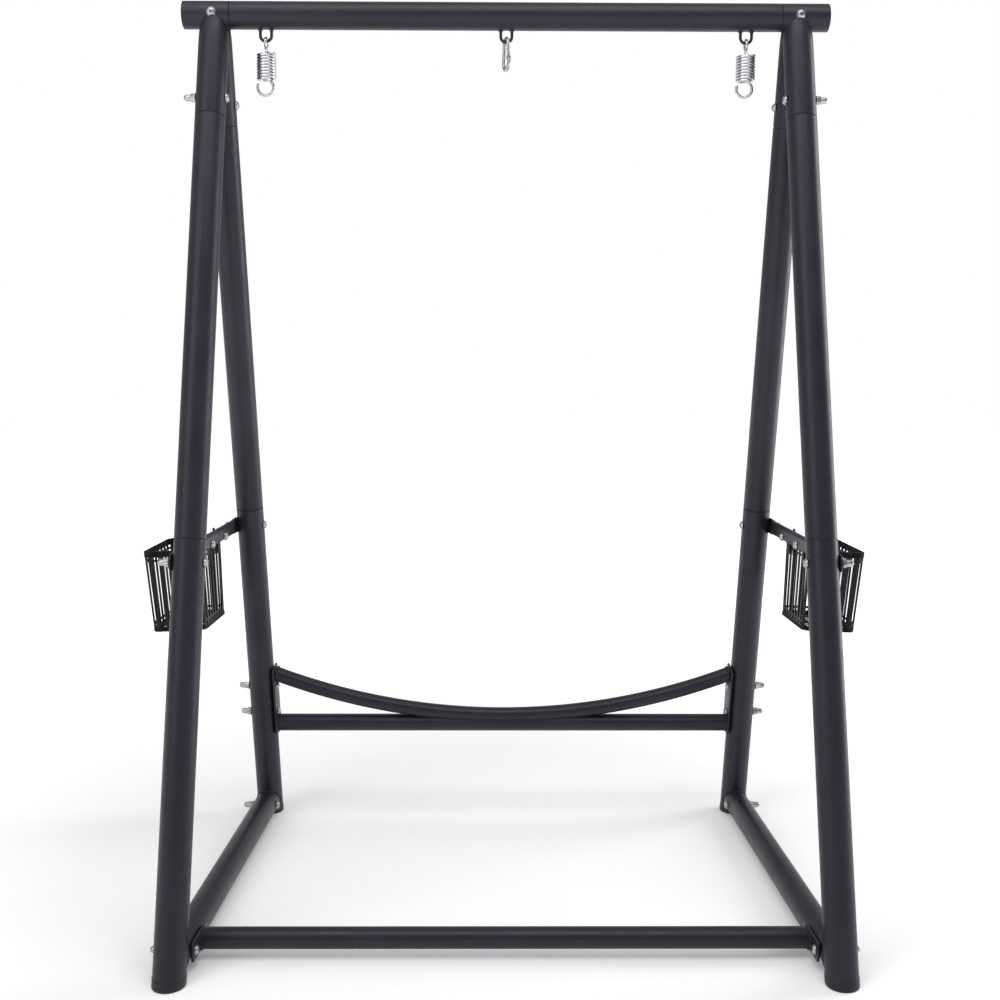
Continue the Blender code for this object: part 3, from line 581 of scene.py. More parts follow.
def top_bar():
    half = SLEEVE_IN - SEAM
    profile = necked(BAR_RADIUS, BAR_RADIUS - BAR_NECK, -half, half, 0.0014, 0.01 + SEAM)
    mesh = lathe("top_bar_tube", profile, np.array((0, 0, BAR_Z)), X_AXIS, 96)
    piece("top_bar_tube", mesh, "frame_paint", nodes=["top_crossbar"])


def hanging_loop(x, name):
    """A bent rod and the two small welds that hold it."""
    centre = np.array((x, 0, LOOP_Z + LOOP_HALF))
    bend = circle(centre, LOOP_HALF, X_AXIS, Z_AXIS, 180, 360, 40)
    top = BAR_Z - BAR_RADIUS + 0.001
    left = np.array((x - LOOP_HALF, 0, top))
    right = np.array((x + LOOP_HALF, 0, top))
    mesh = sweep(name + "_rod", [left, *bend, right], LOOP_ROD, 18)
    piece(name + "_rod", mesh, "frame_paint", nodes=[name])
    reach = 0.0062
    drop = 0.0052
    profile = [
        (LOOP_ROD * 0.9, -drop), (LOOP_ROD + 0.0006, -drop + 0.0012, 0.001),
        (reach * 0.72, -0.0022, 0.0012), (reach, -0.0008, 0.0006), (reach * 0.9, 0.0012)]
    for place, foot in (("left", left), ("right", right)):
        fillet = lathe(f"{name}_{place}_fillet", profile, foot, Z_AXIS, 32)
        piece(f"{name}_{place}_fillet", fillet, "weld_paint")


def corner(side, word):
    """A sleeve with its two leg stubs and their welds."""
    bar_start = np.array((side * SLEEVE_IN, 0, BAR_Z))
    length = SLEEVE_OUT - SLEEVE_IN
    bore = BAR_RADIUS - SLEEVE_WALL
    profile = [
        (bore, 0), (BAR_RADIUS, 0, 0.0008), (BAR_RADIUS, length, 0.0008), (bore, length)]
    parts = [lathe(word + "_sleeve", profile, bar_start, side * X_AXIS, 96, closed=True)]
    profile = [
        (BAR_RADIUS - 0.0011, 0.005), (LEG_RADIUS, 0.045, 0.012), (LEG_RADIUS, STUB_END, 0.0008),
        (LEG_RADIUS - WALL, STUB_END), (LEG_RADIUS - WALL, STUB_END - 0.06)]
    for end, place in ENDS:
        start, direction = leg_line(side, end)
        parts.append(lathe(f"{word}_{place}_stub", profile, start, direction, 80))
        bead = saddle(
            start, direction, STUB_TOP_RADIUS, np.array((0, 0, BAR_Z)), X_AXIS, BAR_RADIUS, 0.06)
        weld(f"{word}_{place}_stub_weld", bead, 0.0021)
    mesh = joined(word + "_corner", parts)
    piece(word + "_corner", mesh, "frame_paint", nodes=[word + "_corner_connector"])
    crotch = []
    lowest = LEG_RADIUS / math.sin(LEAN)
    for step in range(61):
        angle = math.pi * step / 60
        drop = CROTCH_DROP + (lowest - CROTCH_DROP) * math.sin(angle)
        out = math.sqrt(max(LEG_RADIUS ** 2 - (drop * math.sin(LEAN)) ** 2, 0))
        crotch.append(spot(side, 0, math.copysign(out, math.cos(angle)), BAR_Z - drop))
    weld(word + "_crotch_weld", crotch, FINE_BEAD, closed=False)


def end_plug(side, word):
    """A moulded plug with a shallow dome."""
    crown = 0.65
    rim = BAR_RADIUS - 0.0002
    stem = BAR_RADIUS - 0.003
    profile = [
        (0.0, crown), (BAR_RADIUS * 0.5, crown - 0.0003), (BAR_RADIUS * 0.82, crown - 0.0010, 0.003),
        (rim, SLEEVE_OUT + 0.0008, 0.0006), (rim, SLEEVE_OUT + GAP), (stem, SLEEVE_OUT + GAP),
        (stem, SLEEVE_OUT - 0.012), (0.0, SLEEVE_OUT - 0.012)]
    mesh = lathe(word + "_plug", profile, np.array((0, 0, BAR_Z)), side * X_AXIS, 72)
    piece(word + "_plug", mesh, "plug_plastic", nodes=[word + "_end_plug"])


# ---- legs and feet
def upper_leg(side, word, end, place):
    profile = necked(
        LEG_RADIUS, LEG_RADIUS - NECK, STUB_END + SEAM * 1.4, LEG_SEAM - SEAM, EDGE, NECK_SHOWN)
    name = f"{word}_{place}_upper"
    mesh = lathe(name + "_tube", profile, *leg_line(side, end), 80)
    piece(name + "_tube", mesh, "frame_paint", nodes=[name + "_leg"])


def lower_leg(side, word, end, place):
    """A lower leg with the welded stub for its side rail."""
    start, direction = leg_line(side, end)
    top = LEG_SEAM + SEAM
    foot = (BAR_Z - FOOT_Z) / math.cos(LEAN)
    inner = LEG_RADIUS - WALL
    profile = [
        (inner, top + 0.03), (inner, top), (LEG_RADIUS, top, EDGE), (LEG_RADIUS, foot), (0.0, foot)]
    name = f"{word}_{place}_lower_tube"
    leg = lathe(name, profile, start, direction, 80)
    axis = spot(side, end * leg_front(RAIL_Z), 0, RAIL_Z)
    inwards = spot(side, 0, 0, RAIL_Z) - spot(side, end, 0, RAIL_Z)
    reach = leg_front(RAIL_Z) - RAIL_STUB_END
    bore = RAIL_RADIUS - WALL
    profile = [(RAIL_RADIUS, 0.0), (RAIL_RADIUS, reach, 0.0010), (bore, reach), (bore, reach - 0.02)]
    stub = lathe(name + "_stub", profile, axis, inwards, 72)
    piece(name, joined(name, [leg, stub]), "frame_paint", nodes=[f"{word}_{place}_lower_leg"])
    bead = saddle(axis, inwards, RAIL_RADIUS, start, direction, LEG_RADIUS, 0.07)
    weld(f"{word}_{place}_rail_weld", bead, 0.0026)


def foot_cap(side, word, end, place):
    """A moulded shoe whose level slices follow the leaning leg."""
    outer = LEG_RADIUS + 0.0008
    inner = LEG_RADIUS - 0.0006
    profile = softened([
        (0.0, 0.0), (outer, 0.0, 0.0034), (outer, CAP_HEIGHT, 0.0006), (inner, CAP_HEIGHT),
        (inner, CAP_HEIGHT - 0.004)])
    angles = np.arange(72) * 2 * math.pi / 72
    rings = []
    for radius, height in profile:
        middle = end * leg_front(height)
        long_half = radius / math.cos(LEAN)
        rings.append(np.array([
            spot(side, middle + long_half * math.cos(angle), radius * math.sin(angle), height)
            for angle in angles]))
    name = f"{word}_{place}_shoe"
    piece(name, loft(name, rings, cap=False), "plug_plastic", nodes=[f"{word}_{place}_foot_cap"])


# ---- rails
def side_rail(side, word):
    middle = spot(side, 0, 0, RAIL_Z)
    ahead = spot(side, 1, 0, RAIL_Z) - middle
    half = RAIL_STUB_END - SEAM
    profile = necked(RAIL_RADIUS, RAIL_RADIUS - NECK, -half, half, EDGE, NECK_SHOWN)
    piece(word + "_rail_tube", lathe(word + "_rail_tube", profile, middle, ahead, 80), "frame_paint",
          nodes=[word + "_side_rail"])


def rounded_box(length, height, radius, inset, steps=6):
    """A rectangle with round corners in (along, up) with the given inset."""
    radius = max(radius - inset, 0.0004)
    outline = []
    for index, (x_sign, y_sign) in enumerate(((1, 1), (-1, 1), (-1, -1), (1, -1))):
        centre_x = x_sign * (length / 2 - inset - radius)
        centre_y = y_sign * (height / 2 - inset - radius)
        for step in range(steps + 1):
            angle = math.pi / 2 * (index + step / steps)
            outline.append((centre_x + radius * math.cos(angle), centre_y + radius * math.sin(angle)))
    return outline


def slab(name, shape, depth, rim, centre, along, up, out):
    """A plate with rounded rims: the shape is its length, height and corner radius."""
    rings = []
    for sign in (-1, 1):
        for turn in (0, 0.5, 1):
            angle = math.pi / 2 * (turn if sign < 0 else 1 - turn)
            outline = rounded_box(*shape, rim * (1 - math.sin(angle)))
            place = sign * (depth / 2 - rim * (1 - math.cos(angle)))
            rings.append(np.array([centre + a * along + b * up + place * out for a, b in outline]))
    return loft(name, rings)


def cross_tube(name, start, end):
    run = end - start
    return lathe(name, [(CROSS_RADIUS, 0), (CROSS_RADIUS, np.linalg.norm(run))], start, run, 72)


def front_cross_rail():
    plates = []
    ends = []
    inner = -(RAIL_RADIUS + GAP + PLATE / 2)
    for side, word in SIDES:
        ahead, out = side_axes(side)
        centre = spot(side, FRONT_PLATE_MIDDLE, inner, RAIL_Z)
        plates.append(slab(
            word + "_front_plate", FRONT_PLATE, PLATE, PLATE_RIM, centre, ahead, Z_AXIS, out))
        ends.append(spot(side, FRONT_RAIL, inner, RAIL_Z))
        bead = round_ring(spot(side, FRONT_RAIL, inner - PLATE / 2, RAIL_Z), CROSS_RADIUS, out)
        weld(word + "_front_rail_weld", bead)
    mesh = joined("front_rail_tube", [cross_tube("front_tube", *ends), *plates])
    piece("front_rail_tube", mesh, "frame_paint", nodes=["front_cross_rail"])


def leaning_up():
    """Up along the rear legs."""
    return np.array((0.0, -math.sin(LEAN), math.cos(LEAN)))


def arc_shape():
    """Radius and centre of the arched rear tube, in the plane of the rear legs."""
    end_x, end_z = ARC_END
    rise = (end_z - ARC_MIDDLE_Z) / math.cos(LEAN)
    radius = (end_x ** 2 + rise ** 2) / (2 * rise)
    bottom = np.array((0, leg_front(ARC_MIDDLE_Z) * math.cos(TOE), ARC_MIDDLE_Z))
    return radius, bottom + radius * leaning_up()


def rear_frame():
    plates = []
    ends = []
    reach = LEG_RADIUS + GAP + PLATE / 2
    for side, word in SIDES:
        out = side_axes(side)[1]
        up = unit(leg_spot(side, -1, 0) - leg_spot(side, -1, 1))
        along = unit(np.cross(up, out))
        centre = spot(side, -leg_front(REAR_PLATE_Z), -reach, REAR_PLATE_Z)
        plates.append(slab(
            word + "_rear_plate", REAR_PLATE, PLATE, PLATE_RIM, centre, along, up, out))
        ends.append(spot(side, -leg_front(REAR_TUBE_Z), -reach, REAR_TUBE_Z))
        inner = spot(side, -leg_front(REAR_TUBE_Z), -reach - PLATE / 2, REAR_TUBE_Z)
        weld(word + "_rear_tube_weld", round_ring(inner, CROSS_RADIUS, out))
    mesh = joined("rear_tube_and_plates", [cross_tube("rear_tube", *ends), *plates])
    piece("rear_tube_and_plates", mesh, "frame_paint", nodes=["rear_crossbar"])
    radius, centre = arc_shape()
    up = leaning_up()
    plate_x = SIDE_SPACING / 2 - reach - PLATE / 2
    plate_x += leg_front(ARC_END[1]) * -math.sin(TOE)
    half = math.degrees(math.asin((plate_x + 0.001) / radius))
    path = circle(centre, radius, X_AXIS, up, -90 - half, -90 + half, 97)
    piece("rear_arc", sweep("rear_arc", path, ARC_RADIUS, 48), "frame_paint", nodes=["rear_arc_tube"])
    for side, word in SIDES:
        end = path[0] if side < 0 else path[-1]
        tangent = unit(path[0] - path[1]) if side < 0 else unit(path[-1] - path[-2])
        weld(word + "_arc_weld", round_ring(end - 0.0015 * tangent, ARC_RADIUS, tangent))
    arc_to_tube_weld(radius, centre, up)


def arc_to_tube_weld(radius, centre, up):
    """The closed bead where the arch sits on the straight tube at mid-span."""
    across = np.cross(up, X_AXIS)
    level = np.array((0, leg_front(REAR_TUBE_Z) * math.cos(TOE), REAR_TUBE_Z))
    front, back = [], []
    for x in np.linspace(-0.27, 0.27, 109):
        height = np.dot(centre - level, up) - math.sqrt(radius ** 2 - x ** 2)
        along = (height ** 2 + CROSS_RADIUS ** 2 - ARC_RADIUS ** 2) / (2 * height)
        if abs(along) >= CROSS_RADIUS:
            continue
        out = math.sqrt(CROSS_RADIUS ** 2 - along ** 2)
        middle = level + x * X_AXIS + along * up
        front.append(middle - out * across)
        back.append(middle + out * across)
    weld("arch_weld", [*front, *reversed(back)], FINE_BEAD)


# ---- braces
def brace_section(side, front, height, depth, steps=10):
    """A flat-oval slice across the brace."""
    flat = (height - depth) / 2
    ring = []
    for end in (1, -1):
        for step in range(steps + 1):
            angle = math.pi * step / steps
            rise = end * (flat + depth / 2 * math.sin(angle))
            out = BRACE_MIDDLE + end * depth / 2 * math.cos(angle)
            ring.append(spot(side, front, out, BRACE_Z + rise))
    return np.array(ring)


def side_brace(side, word):
    """A flat-oval tube whose flattened ends are rounded about their bolts."""
    height, depth = BRACE_END
    bolt_at = leg_front(BRACE_Z)
    half = []
    for degrees in (80, 72, 60, 48, 36, 24, 12, 0):
        angle = math.radians(degrees)
        half.append((bolt_at + height / 2 * math.sin(angle), height * math.cos(angle), depth))
    for step in range(9):
        t = step / 8
        ease = t * t * (3 - 2 * t)
        half.append((
            BRACE_FLAT + (BRACE_FULL - BRACE_FLAT) * t, height + (BRACE_HEIGHT - height) * ease,
            depth + (BRACE_DEPTH - depth) * ease))
    stations = half + [(-front, tall, deep) for front, tall, deep in reversed(half)]
    rings = [brace_section(side, *station) for station in stations]
    piece(word + "_brace", loft(word + "_brace", rings), "frame_paint", nodes=[word + "_side_brace"])


# ---- baskets
def basket_ring(side, level, offset, steps):
    """Evenly spaced points round the basket at a level from 0 to 1, and their outward normals."""
    low = np.array(BASKET_BOTTOM)
    back, front, inner, outer, z = low + (np.array(BASKET_TOP) - low) * level
    outline = np.array(rounded_box(front - back, outer - inner, BASKET_CORNER, 0.0, 12))
    outline = np.vstack((outline, outline[:1]))
    run = np.concatenate(([0], np.cumsum(np.linalg.norm(np.diff(outline, axis=0), axis=1))))
    places = np.linspace(0, run[-1], steps, endpoint=False)
    flat = np.column_stack([np.interp(places, run, outline[:, axis]) for axis in range(2)])
    tangents = np.roll(flat, -1, axis=0) - np.roll(flat, 1, axis=0)
    tangents /= np.linalg.norm(tangents, axis=1)[:, None]
    normals = np.column_stack((tangents[:, 1], -tangents[:, 0]))
    flat = flat + normals * offset
    ahead = (front + back) / 2
    out = (inner + outer) / 2
    points = np.array([spot(side, ahead + a, out + b, z - b * BASKET_TILT) for a, b in flat])
    origin = spot(side, 0, 0, 0)
    ways = np.array([spot(side, a, b, 0) - origin for a, b in normals])
    return points, ways, run[-1]


def band(side, name, low, high, depth, scallops, total):
    """A flat band round the basket between two heights, its edges rounded into the slats."""
    middle = (low + high) / 2
    level = (middle - BASKET_BOTTOM[4]) / (BASKET_TOP[4] - BASKET_BOTTOM[4])
    points, ways, length = basket_ring(side, level, BASKET_INSET, total * TURN_STEPS)
    pitch = length / total
    half_turn = TURN_STEPS / 2
    half_gap = (pitch - SLAT_WIDTH) / 2
    rings = []
    for index, (point, way) in enumerate(zip(points, ways)):
        from_slat = abs((index + half_turn) % TURN_STEPS - half_turn) / TURN_STEPS * pitch
        grown = []
        for radius in scallops:
            into = min(max(pitch / 2 - from_slat - (half_gap - radius), 0.0), radius)
            grown.append(radius - math.sqrt(radius ** 2 - into ** 2))
        outline = soft_box(
            -depth / 2, depth / 2, low - middle - grown[0], high - middle + grown[1], depth * 0.4)[::2]
        rings.append(np.array([point + a * way + b * Z_AXIS for a, b in outline]))
    return loft(name, rings, closed_path=True)


def rope_course(side, name, level):
    """A twined pair of strands round the basket."""
    length = basket_ring(side, level, BASKET_INSET, 8)[2]
    steps = round(length / ROPE_PITCH) * ROPE_STEPS
    points, ways, _ = basket_ring(side, level, BASKET_INSET, steps)
    strands = []
    for phase in (0.0, math.pi):
        turn = (np.arange(steps) / ROPE_STEPS * 2 * math.pi + phase)[:, None]
        shift = ways * (ROPE_RADIUS * np.cos(turn)) + Z_AXIS * (ROPE_RADIUS * np.sin(turn))
        strands.append(sweep(name, points + shift, ROPE_RADIUS, 7, closed=True))
    return strands


def slats(side, name, total):
    """The upright strips."""
    rings = [
        basket_ring(side, level, BASKET_INSET, total * TURN_STEPS)
        for level in np.linspace(*SLAT_ENDS, 5)]
    strips = []
    for place in range(0, total * TURN_STEPS, TURN_STEPS):
        path = [points[place] for points, _, _ in rings]
        ways = [normals[place] for _, normals, _ in rings]
        strips.append(strap(name, path, ways, SLAT_WIDTH, SLAT_DEPTH))
    return strips


def basket_floor(side, name):
    """Crossing strips across the bottom."""
    back, front, inner, outer, z = BASKET_BOTTOM
    middle = (inner + outer) / 2
    paths = []

    def floor_spot(along, out, lift):
        return spot(side, along, out, z + lift - (out - middle) * BASKET_TILT)

    for along in np.arange(back + 0.016, front - 0.008, FLOOR_PITCH):
        ends = np.linspace(inner + 0.002, outer - 0.002, 4)
        paths.append([floor_spot(along, out, 0.0030) for out in ends])
    for out in np.arange(inner + 0.014, outer - 0.006, FLOOR_PITCH):
        ends = np.linspace(back + 0.002, front - 0.002, 4)
        paths.append([floor_spot(along, out, 0.0042) for along in ends])
    return [strap(name, path, [Z_AXIS] * 4, *FLOOR_STRIP) for path in paths]


def basket(side, word):
    name = word + "_woven_basket"
    total = round(basket_ring(side, 1.0, 0.0, 4)[2] / SLAT_PITCH)
    rim, foot = BASKET_TOP[4], BASKET_BOTTOM[4]
    parts = slats(side, name, total)
    for start, rows in ((rim, RIM_BANDS), (foot, FOOT_BANDS)):
        for low, high, depth, *scallops in rows:
            parts.append(band(side, name, start + low, start + high, depth, scallops, total))
    for height in [rim - foot - drop for drop in ROPE_DROPS] + [*ROPE_RISES]:
        parts.extend(rope_course(side, name, height / (rim - foot)))
    parts.extend(basket_floor(side, name))
    ahead, out = side_axes(side)
    for front, width, low, high in EARS:
        centre = spot(side, front, EAR_FACE + EAR_DEPTH / 2, (low + high) / 2)
        shape = (width, high - low, EAR_CORNER)
        parts.append(slab(
            name + "_ear", shape, EAR_DEPTH, 0.0008, centre, ahead, Z_AXIS, out))
    piece(name, joined(name, parts), "basket_weave", nodes=[word + "_basket"])


# ---- bolts
def drilled_head():
    """A button head with a hexagon socket, its top along -Z, bearing at the origin."""
    radius, tall = HEAD
    wide, thick = WASHER
    profile = [
        (0.0, -thick - tall), (radius * 0.45, -thick - tall, 0.0004),
        (radius * 0.80, -thick - tall * 0.80, 0.0022), (radius, -thick - 0.0009, 0.0008),
        (radius, -thick), (wide - 0.0003, -thick, 0.0004), (wide, -thick + 0.0004, 0.0003),
        (wide, 0.0, 0.0003), (SHANK, 0.0), (0.0, 0.0)]
    head = placed("bolt_head", lathe("bolt_head", profile, np.zeros(3), Z_AXIS, 40))
    reach, deep = SOCKET
    work = bmesh.new()
    bmesh.ops.create_cone(
        work, cap_ends=True, segments=6, radius1=reach, radius2=reach, depth=deep,
        matrix=Matrix.Translation((0, 0, -thick - tall)))
    socket_mesh = bpy.data.meshes.new("socket")
    work.to_mesh(socket_mesh)
    work.free()
    socket = placed("socket", socket_mesh)
    cut = head.modifiers.new("socket", "BOOLEAN")
    cut.operation = "DIFFERENCE"
    cut.object = socket
    bpy.context.view_layer.update()
    graph = bpy.context.evaluated_depsgraph_get()
    result = bpy.data.meshes.new_from_object(head.evaluated_get(graph))
    bpy.data.objects.remove(head, do_unlink=True)
    bpy.data.objects.remove(socket, do_unlink=True)
    return finish_mesh(result, 30)


def cap_nut(grip):
    """A washer, a chamfered hexagon and its dome, standing on the grip."""
    wide, thick = WASHER
    base = grip + thick
    washer = lathe("nut_washer", [
        (SHANK, grip), (wide, grip, 0.0003), (wide, base - 0.0004, 0.0003),
        (wide - 0.0003, base, 0.0003), (SHANK, base)], np.zeros(3), Z_AXIS, 40)
    corner_radius = NUT_HALF / math.cos(math.pi / 6)
    top = base + NUT_HEX
    chamfers = (
        (base, corner_radius * 0.93), (base + 0.0005, corner_radius),
        (top - 0.0009, corner_radius), (top, corner_radius * 0.90))
    rings = []
    for height, limit in chamfers:
        ring = []
        for step in range(72):
            angle = 2 * math.pi * step / 72
            flat = NUT_HALF / math.cos((angle + math.pi / 6) % (math.pi / 3) - math.pi / 6)
            radius = min(flat, limit)
            ring.append((radius * math.cos(angle), radius * math.sin(angle), height))
        rings.append(np.array(ring))
    hexagon = loft("nut_hexagon", rings, angle=25)
    dome, rise = NUT_DOME
    cap = lathe("nut_dome", [
        (dome + 0.0002, top - 0.0002), (dome, top + rise * 0.62, 0.003),
        (dome * 0.84, top + rise * 0.86, 0.003), (dome * 0.5, top + rise * 0.98, 0.002),
        (0.0, top + rise)], np.zeros(3), Z_AXIS, 40)
    return [washer, hexagon, cap]


def bolt_places():
    """Where every bolt goes: node name, head face and nut face."""
    places = {}
    leg = LEG_RADIUS + GAP
    rail = RAIL_RADIUS + GAP
    plate = PLATE + GAP
    brace_end = BRACE_MIDDLE + BRACE_END[1] / 2 + GAP
    brace_back = BRACE_MIDDLE - BRACE_DEPTH / 2 - GAP
    ear = EAR_FACE + EAR_DEPTH + GAP
    for side, word in SIDES:
        middle = np.array((side * SLEEVE_BOLT_X, 0, BAR_Z))
        reach = (BAR_RADIUS + GAP) * Y_AXIS
        places[word + "_sleeve_bolt"] = (middle - reach, middle + reach)
        for end, place in ENDS:
            for kind, along, outer in (("stub", STUB_BOLT, leg), ("brace", BRACE_BOLT, brace_end)):
                places[f"{word}_{place}_{kind}_bolt"] = [
                    leg_spot(side, end, along, out) for out in (-leg, outer)]
            inner = rail + (plate if end > 0 else 0)
            places[f"{word}_{place}_rail_bolt"] = [
                spot(side, end * RAIL_BOLT, out, RAIL_Z) for out in (-inner, rail)]
        for index, height in enumerate(REAR_BOLT_Z, 1):
            places[f"{word}_plate_bolt_{index}"] = [
                spot(side, -leg_front(height), out, height) for out in (-leg - plate, leg)]
        for index, front in enumerate(BASKET_BOLTS, 1):
            places[f"{word}_basket_bolt_{index}"] = [
                spot(side, front, out, BASKET_BOLT_Z) for out in (brace_back, ear)]
    return places


def bolts():
    head = drilled_head()
    for order, (name, (start, end)) in enumerate(bolt_places().items()):
        run = Vector(end - start)
        shank = lathe("shank", [(SHANK, -0.001), (SHANK, run.length + 0.003)], np.zeros(3), Z_AXIS, 24)
        mesh = joined(name + "_set", [head, shank, *cap_nut(run.length)])
        turn = run.to_track_quat("Z", "Y") @ Quaternion((0, 0, 1), order * 0.7)
        mesh.transform(Matrix.Translation(start) @ turn.to_matrix().to_4x4())
        piece(name + "_set", mesh, "hardware", nodes=[name])


# ---- springs
def spring(side, word):
    """A coil between its ends, its eye above and its hook below."""
    x = side * LOOP_X
    mean = COIL_RADIUS - WIRE
    first = COIL_TOP - WIRE
    last = COIL_BOTTOM + WIRE
    centre = np.array((x, 0.0, 0.0))
    angles = np.linspace(0, COIL_TURNS * 2 * math.pi, int(COIL_TURNS * COIL_STEPS))
    heights = np.linspace(first, last, len(angles))
    coil = np.column_stack((x + mean * np.cos(angles), mean * np.sin(angles), heights))
    coil_piece = placed(word + "_coil", sweep(word + "_coil", coil, WIRE, 16))
    coil_piece.data.materials.append(LOOKS["spring_steel"])
    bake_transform(coil_piece)
    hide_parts(word + "_spring_coil")

    eye_z = LOOP_Z + LOOP_ROD + GAP + WIRE - EYE_RADIUS
    eye = circle(centre + eye_z * Z_AXIS, EYE_RADIUS, Y_AXIS, Z_AXIS, -62, 262, 60)
    neck = centre + np.array((
        (0, 0.0004, COIL_TOP + 0.0045), (0.0035, -0.0020, first + 0.0012),
        (0.0100, -0.0060, first + 0.0004), (mean * math.cos(-0.3), mean * math.sin(-0.3), first)))
    path = np.vstack((eye, curve_through([eye[-1], *neck, coil[0]])[1:]))
    piece(word + "_eye", sweep(word + "_eye", path, WIRE, 16), "spring_steel",
          word + "_spring", [word + "_spring_eye"])

    ring_centre = centre + HOOK_SHIFT * X_AXIS + HOOK_Z * Z_AXIS
    ring = circle(ring_centre, HOOK_RADIUS, X_AXIS, Z_AXIS, *HOOK_ARC, 70)
    lead = centre + np.array((
        (0.0046, -0.0146, last), (0.0072, -0.0098, last), (0.0074, -0.0048, last - 0.0004)))
    near_ring = ring[0] + np.array((-0.0012, -0.0010, 0.0009))
    path = np.vstack((curve_through([coil[-1], *lead, near_ring, ring[0]]), ring[1:]))
    piece(word + "_hook", sweep(word + "_hook", path, WIRE, 16), "spring_steel",
          word + "_spring_end", [word + "_spring_hook"])


# ---- snap hook
def snap_hook():
    """The bent ring with its tongue and pin, and the gate with its cheeks."""
    across = np.array((math.sin(CARABINER_TWIST), -math.cos(CARABINER_TWIST), 0.0))
    side_on = np.cross(across, Z_AXIS)
    small, large = CARABINER_SMALL, CARABINER_LARGE
    top = np.array((0, 0, LOOP_Z + LOOP_ROD + GAP + CARABINER_ROD - small))
    bottom = np.array((0, 0, CARABINER_BOTTOM + CARABINER_ROD + large))
    slant = math.degrees(math.asin((large - small) / (top - bottom)[2]))
    upper = circle(top, small, across, Z_AXIS, slant, 180 - slant, 36)
    lower = circle(bottom, large, across, Z_AXIS, 180 - slant, 360 + slant, 48)
    foot, head = lower[-1], upper[0]
    run = unit(head - foot)
    straight = [upper[-1] + (lower[0] - upper[-1]) * t for t in (0.25, 0.5, 0.75)]
    nose = head - 0.0010 * run
    ring = sweep(
        "snap_ring", [nose, *upper, *straight, *lower, foot + 0.0026 * run], CARABINER_ROD, 24)
    tongue = slab(
        "snap_tongue", (0.0120, 0.0050, 0.0015), 0.0024, 0.0003,
        foot + 0.0035 * run, run, across, side_on)
    pin_at = foot + 0.0065 * run
    half, neck, rim = 0.0050, 0.0011, 0.0016
    pin = lathe("snap_pin", [
        (0, -half), (0.0014, -half, 0.0004), (rim, -half + 0.0009, 0.0003), (neck, -half + 0.0011),
        (neck, half - 0.0011), (rim, half - 0.0009, 0.0003), (0.0014, half, 0.0004), (0, half)],
        pin_at, side_on, 24)
    piece("snap_hook_ring", joined("snap_hook_ring", [ring, tongue, pin]), "snap_hook_steel",
          "snap_hook", ["carabiner_body"])
    start = foot + 0.0045 * run
    length = np.linalg.norm(nose - start) - 0.0004
    profile = [(0.0019, 0.0), (0.0031, 0.0, 0.0006), (0.0031, length, 0.0008), (0.0, length)]
    parts = [lathe("snap_gate", profile, start, run, 32)]
    for sign in (-1, 1):
        parts.append(slab(
            "snap_cheek", (0.0110, 0.0062, 0.0028), 0.0010, 0.0003,
            pin_at + 0.0030 * sign * side_on, run, across, side_on))
    piece("snap_hook_lever", joined("snap_hook_lever", parts), "snap_hook_steel",
          "snap_hook_gate", ["carabiner_gate"])


# ---- stage
def floor():
    """A pale floor whose glow hides where it ends."""
    work = bmesh.new()
    bmesh.ops.create_grid(work, x_segments=2, y_segments=2, size=14)
    mesh = bpy.data.meshes.new("studio_floor")
    work.to_mesh(mesh)
    work.free()
    obj = placed("studio_floor", mesh)
    made, tree, shader = material("studio_white")
    shader.inputs["Base Color"].default_value = (0.97, 0.97, 0.97, 1)
    shader.inputs["Roughness"].default_value = 0.80
    shader.inputs["Specular IOR Level"].default_value = 0.2
    shader.inputs["Emission Color"].default_value = (1, 1, 1, 1)
    place = tree.nodes.new("ShaderNodeTexCoord")
    distance = node(tree, "ShaderNodeVectorMath", operation="LENGTH")
    tree.links.new(place.outputs["Object"], distance.inputs[0])
    glow = span(tree, distance.outputs["Value"], *FLOOR_GLOW, *GLOW_REACH)
    tree.links.new(glow, shader.inputs["Emission Strength"])
    mesh.materials.append(made)


def area_light(name, place, target, size, power):
    data = bpy.data.lights.new(name, "AREA")
    data.shape = "RECTANGLE"
    data.size, data.size_y = size
    data.energy = power
    obj = placed(name, data)
    obj.location = place
    obj.rotation_euler = (Vector(target) - Vector(place)).to_track_quat("-Z", "Y").to_euler()


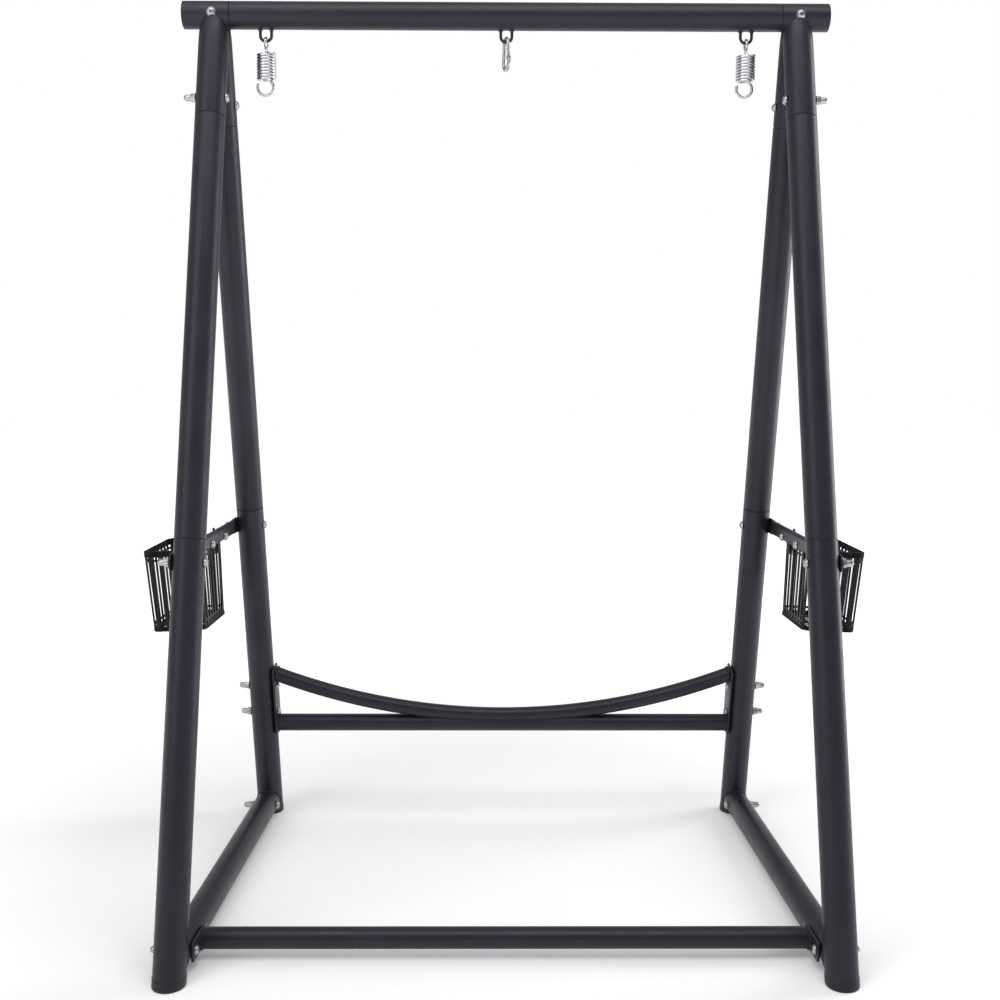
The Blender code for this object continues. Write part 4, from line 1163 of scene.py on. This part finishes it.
def lights():
    """A white backdrop with a dimmer studio behind the camera, and three soft boxes."""
    world = bpy.data.worlds.new("studio")
    bpy.context.scene.world = world
    world.use_nodes = True
    tree = world.node_tree
    shade = tree.nodes["Background"]
    direction = tree.nodes.new("ShaderNodeTexCoord")
    split = tree.nodes.new("ShaderNodeSeparateXYZ")
    tree.links.new(direction.outputs["Generated"], split.inputs["Vector"])
    strength = span(tree, split.outputs["Y"], STUDIO_DIM, STUDIO_BRIGHT, -0.7, 0.8)
    tree.links.new(strength, shade.inputs["Strength"])
    shade.inputs["Color"].default_value = (1.0, 1.0, 1.0, 1.0)
    seen = node(tree, "ShaderNodeBackground", Color=(1.0, 1.0, 1.0, 1.0), Strength=1.0)
    rays = tree.nodes.new("ShaderNodeLightPath")
    mix = tree.nodes.new("ShaderNodeMixShader")
    tree.links.new(rays.outputs["Is Camera Ray"], mix.inputs["Fac"])
    tree.links.new(shade.outputs["Background"], mix.inputs[1])
    tree.links.new(seen.outputs["Background"], mix.inputs[2])
    tree.links.new(mix.outputs["Shader"], tree.nodes["World Output"].inputs["Surface"])
    for row in LIGHTS:
        area_light(*row)
    bpy.context.scene.view_settings.view_transform = "Standard"


def camera():
    """Almost level, a little above the middle, with the lens shifted slightly down."""
    pitch, yaw, roll = CAMERA_TURNS
    level = np.array((math.sin(yaw), math.cos(yaw), 0.0)) * math.cos(pitch)
    forward = level - math.sin(pitch) * Z_AXIS
    flat = np.array((math.cos(yaw), -math.sin(yaw), 0.0))
    upright = np.cross(flat, forward)
    right = math.cos(roll) * flat + math.sin(roll) * upright
    up = math.cos(roll) * upright - math.sin(roll) * flat
    data = bpy.data.cameras.new("camera")
    data.sensor_width = SENSOR
    data.lens = SENSOR * FOCAL
    data.shift_y = LENS_SHIFT
    data.clip_end = 60
    obj = placed("camera", data)
    turn = Matrix((right, up, -forward)).transposed().to_4x4()
    obj.matrix_world = Matrix.Translation(CAMERA_PLACE) @ turn
    bpy.context.scene.camera = obj


# ---- assembly
def build():
    camera()
    lights()
    floor()
    top_bar()
    for name, x in (("left_loop", -LOOP_X), ("middle_loop", 0.0), ("right_loop", LOOP_X)):
        hanging_loop(x, name)
    for side, word in SIDES:
        corner(side, word)
        end_plug(side, word)
        for end, place in ENDS:
            upper_leg(side, word, end, place)
            lower_leg(side, word, end, place)
            foot_cap(side, word, end, place)
        side_rail(side, word)
        side_brace(side, word)
        basket(side, word)
        spring(side, word)
    front_cross_rail()
    rear_frame()
    bolts()
    snap_hook()


build()
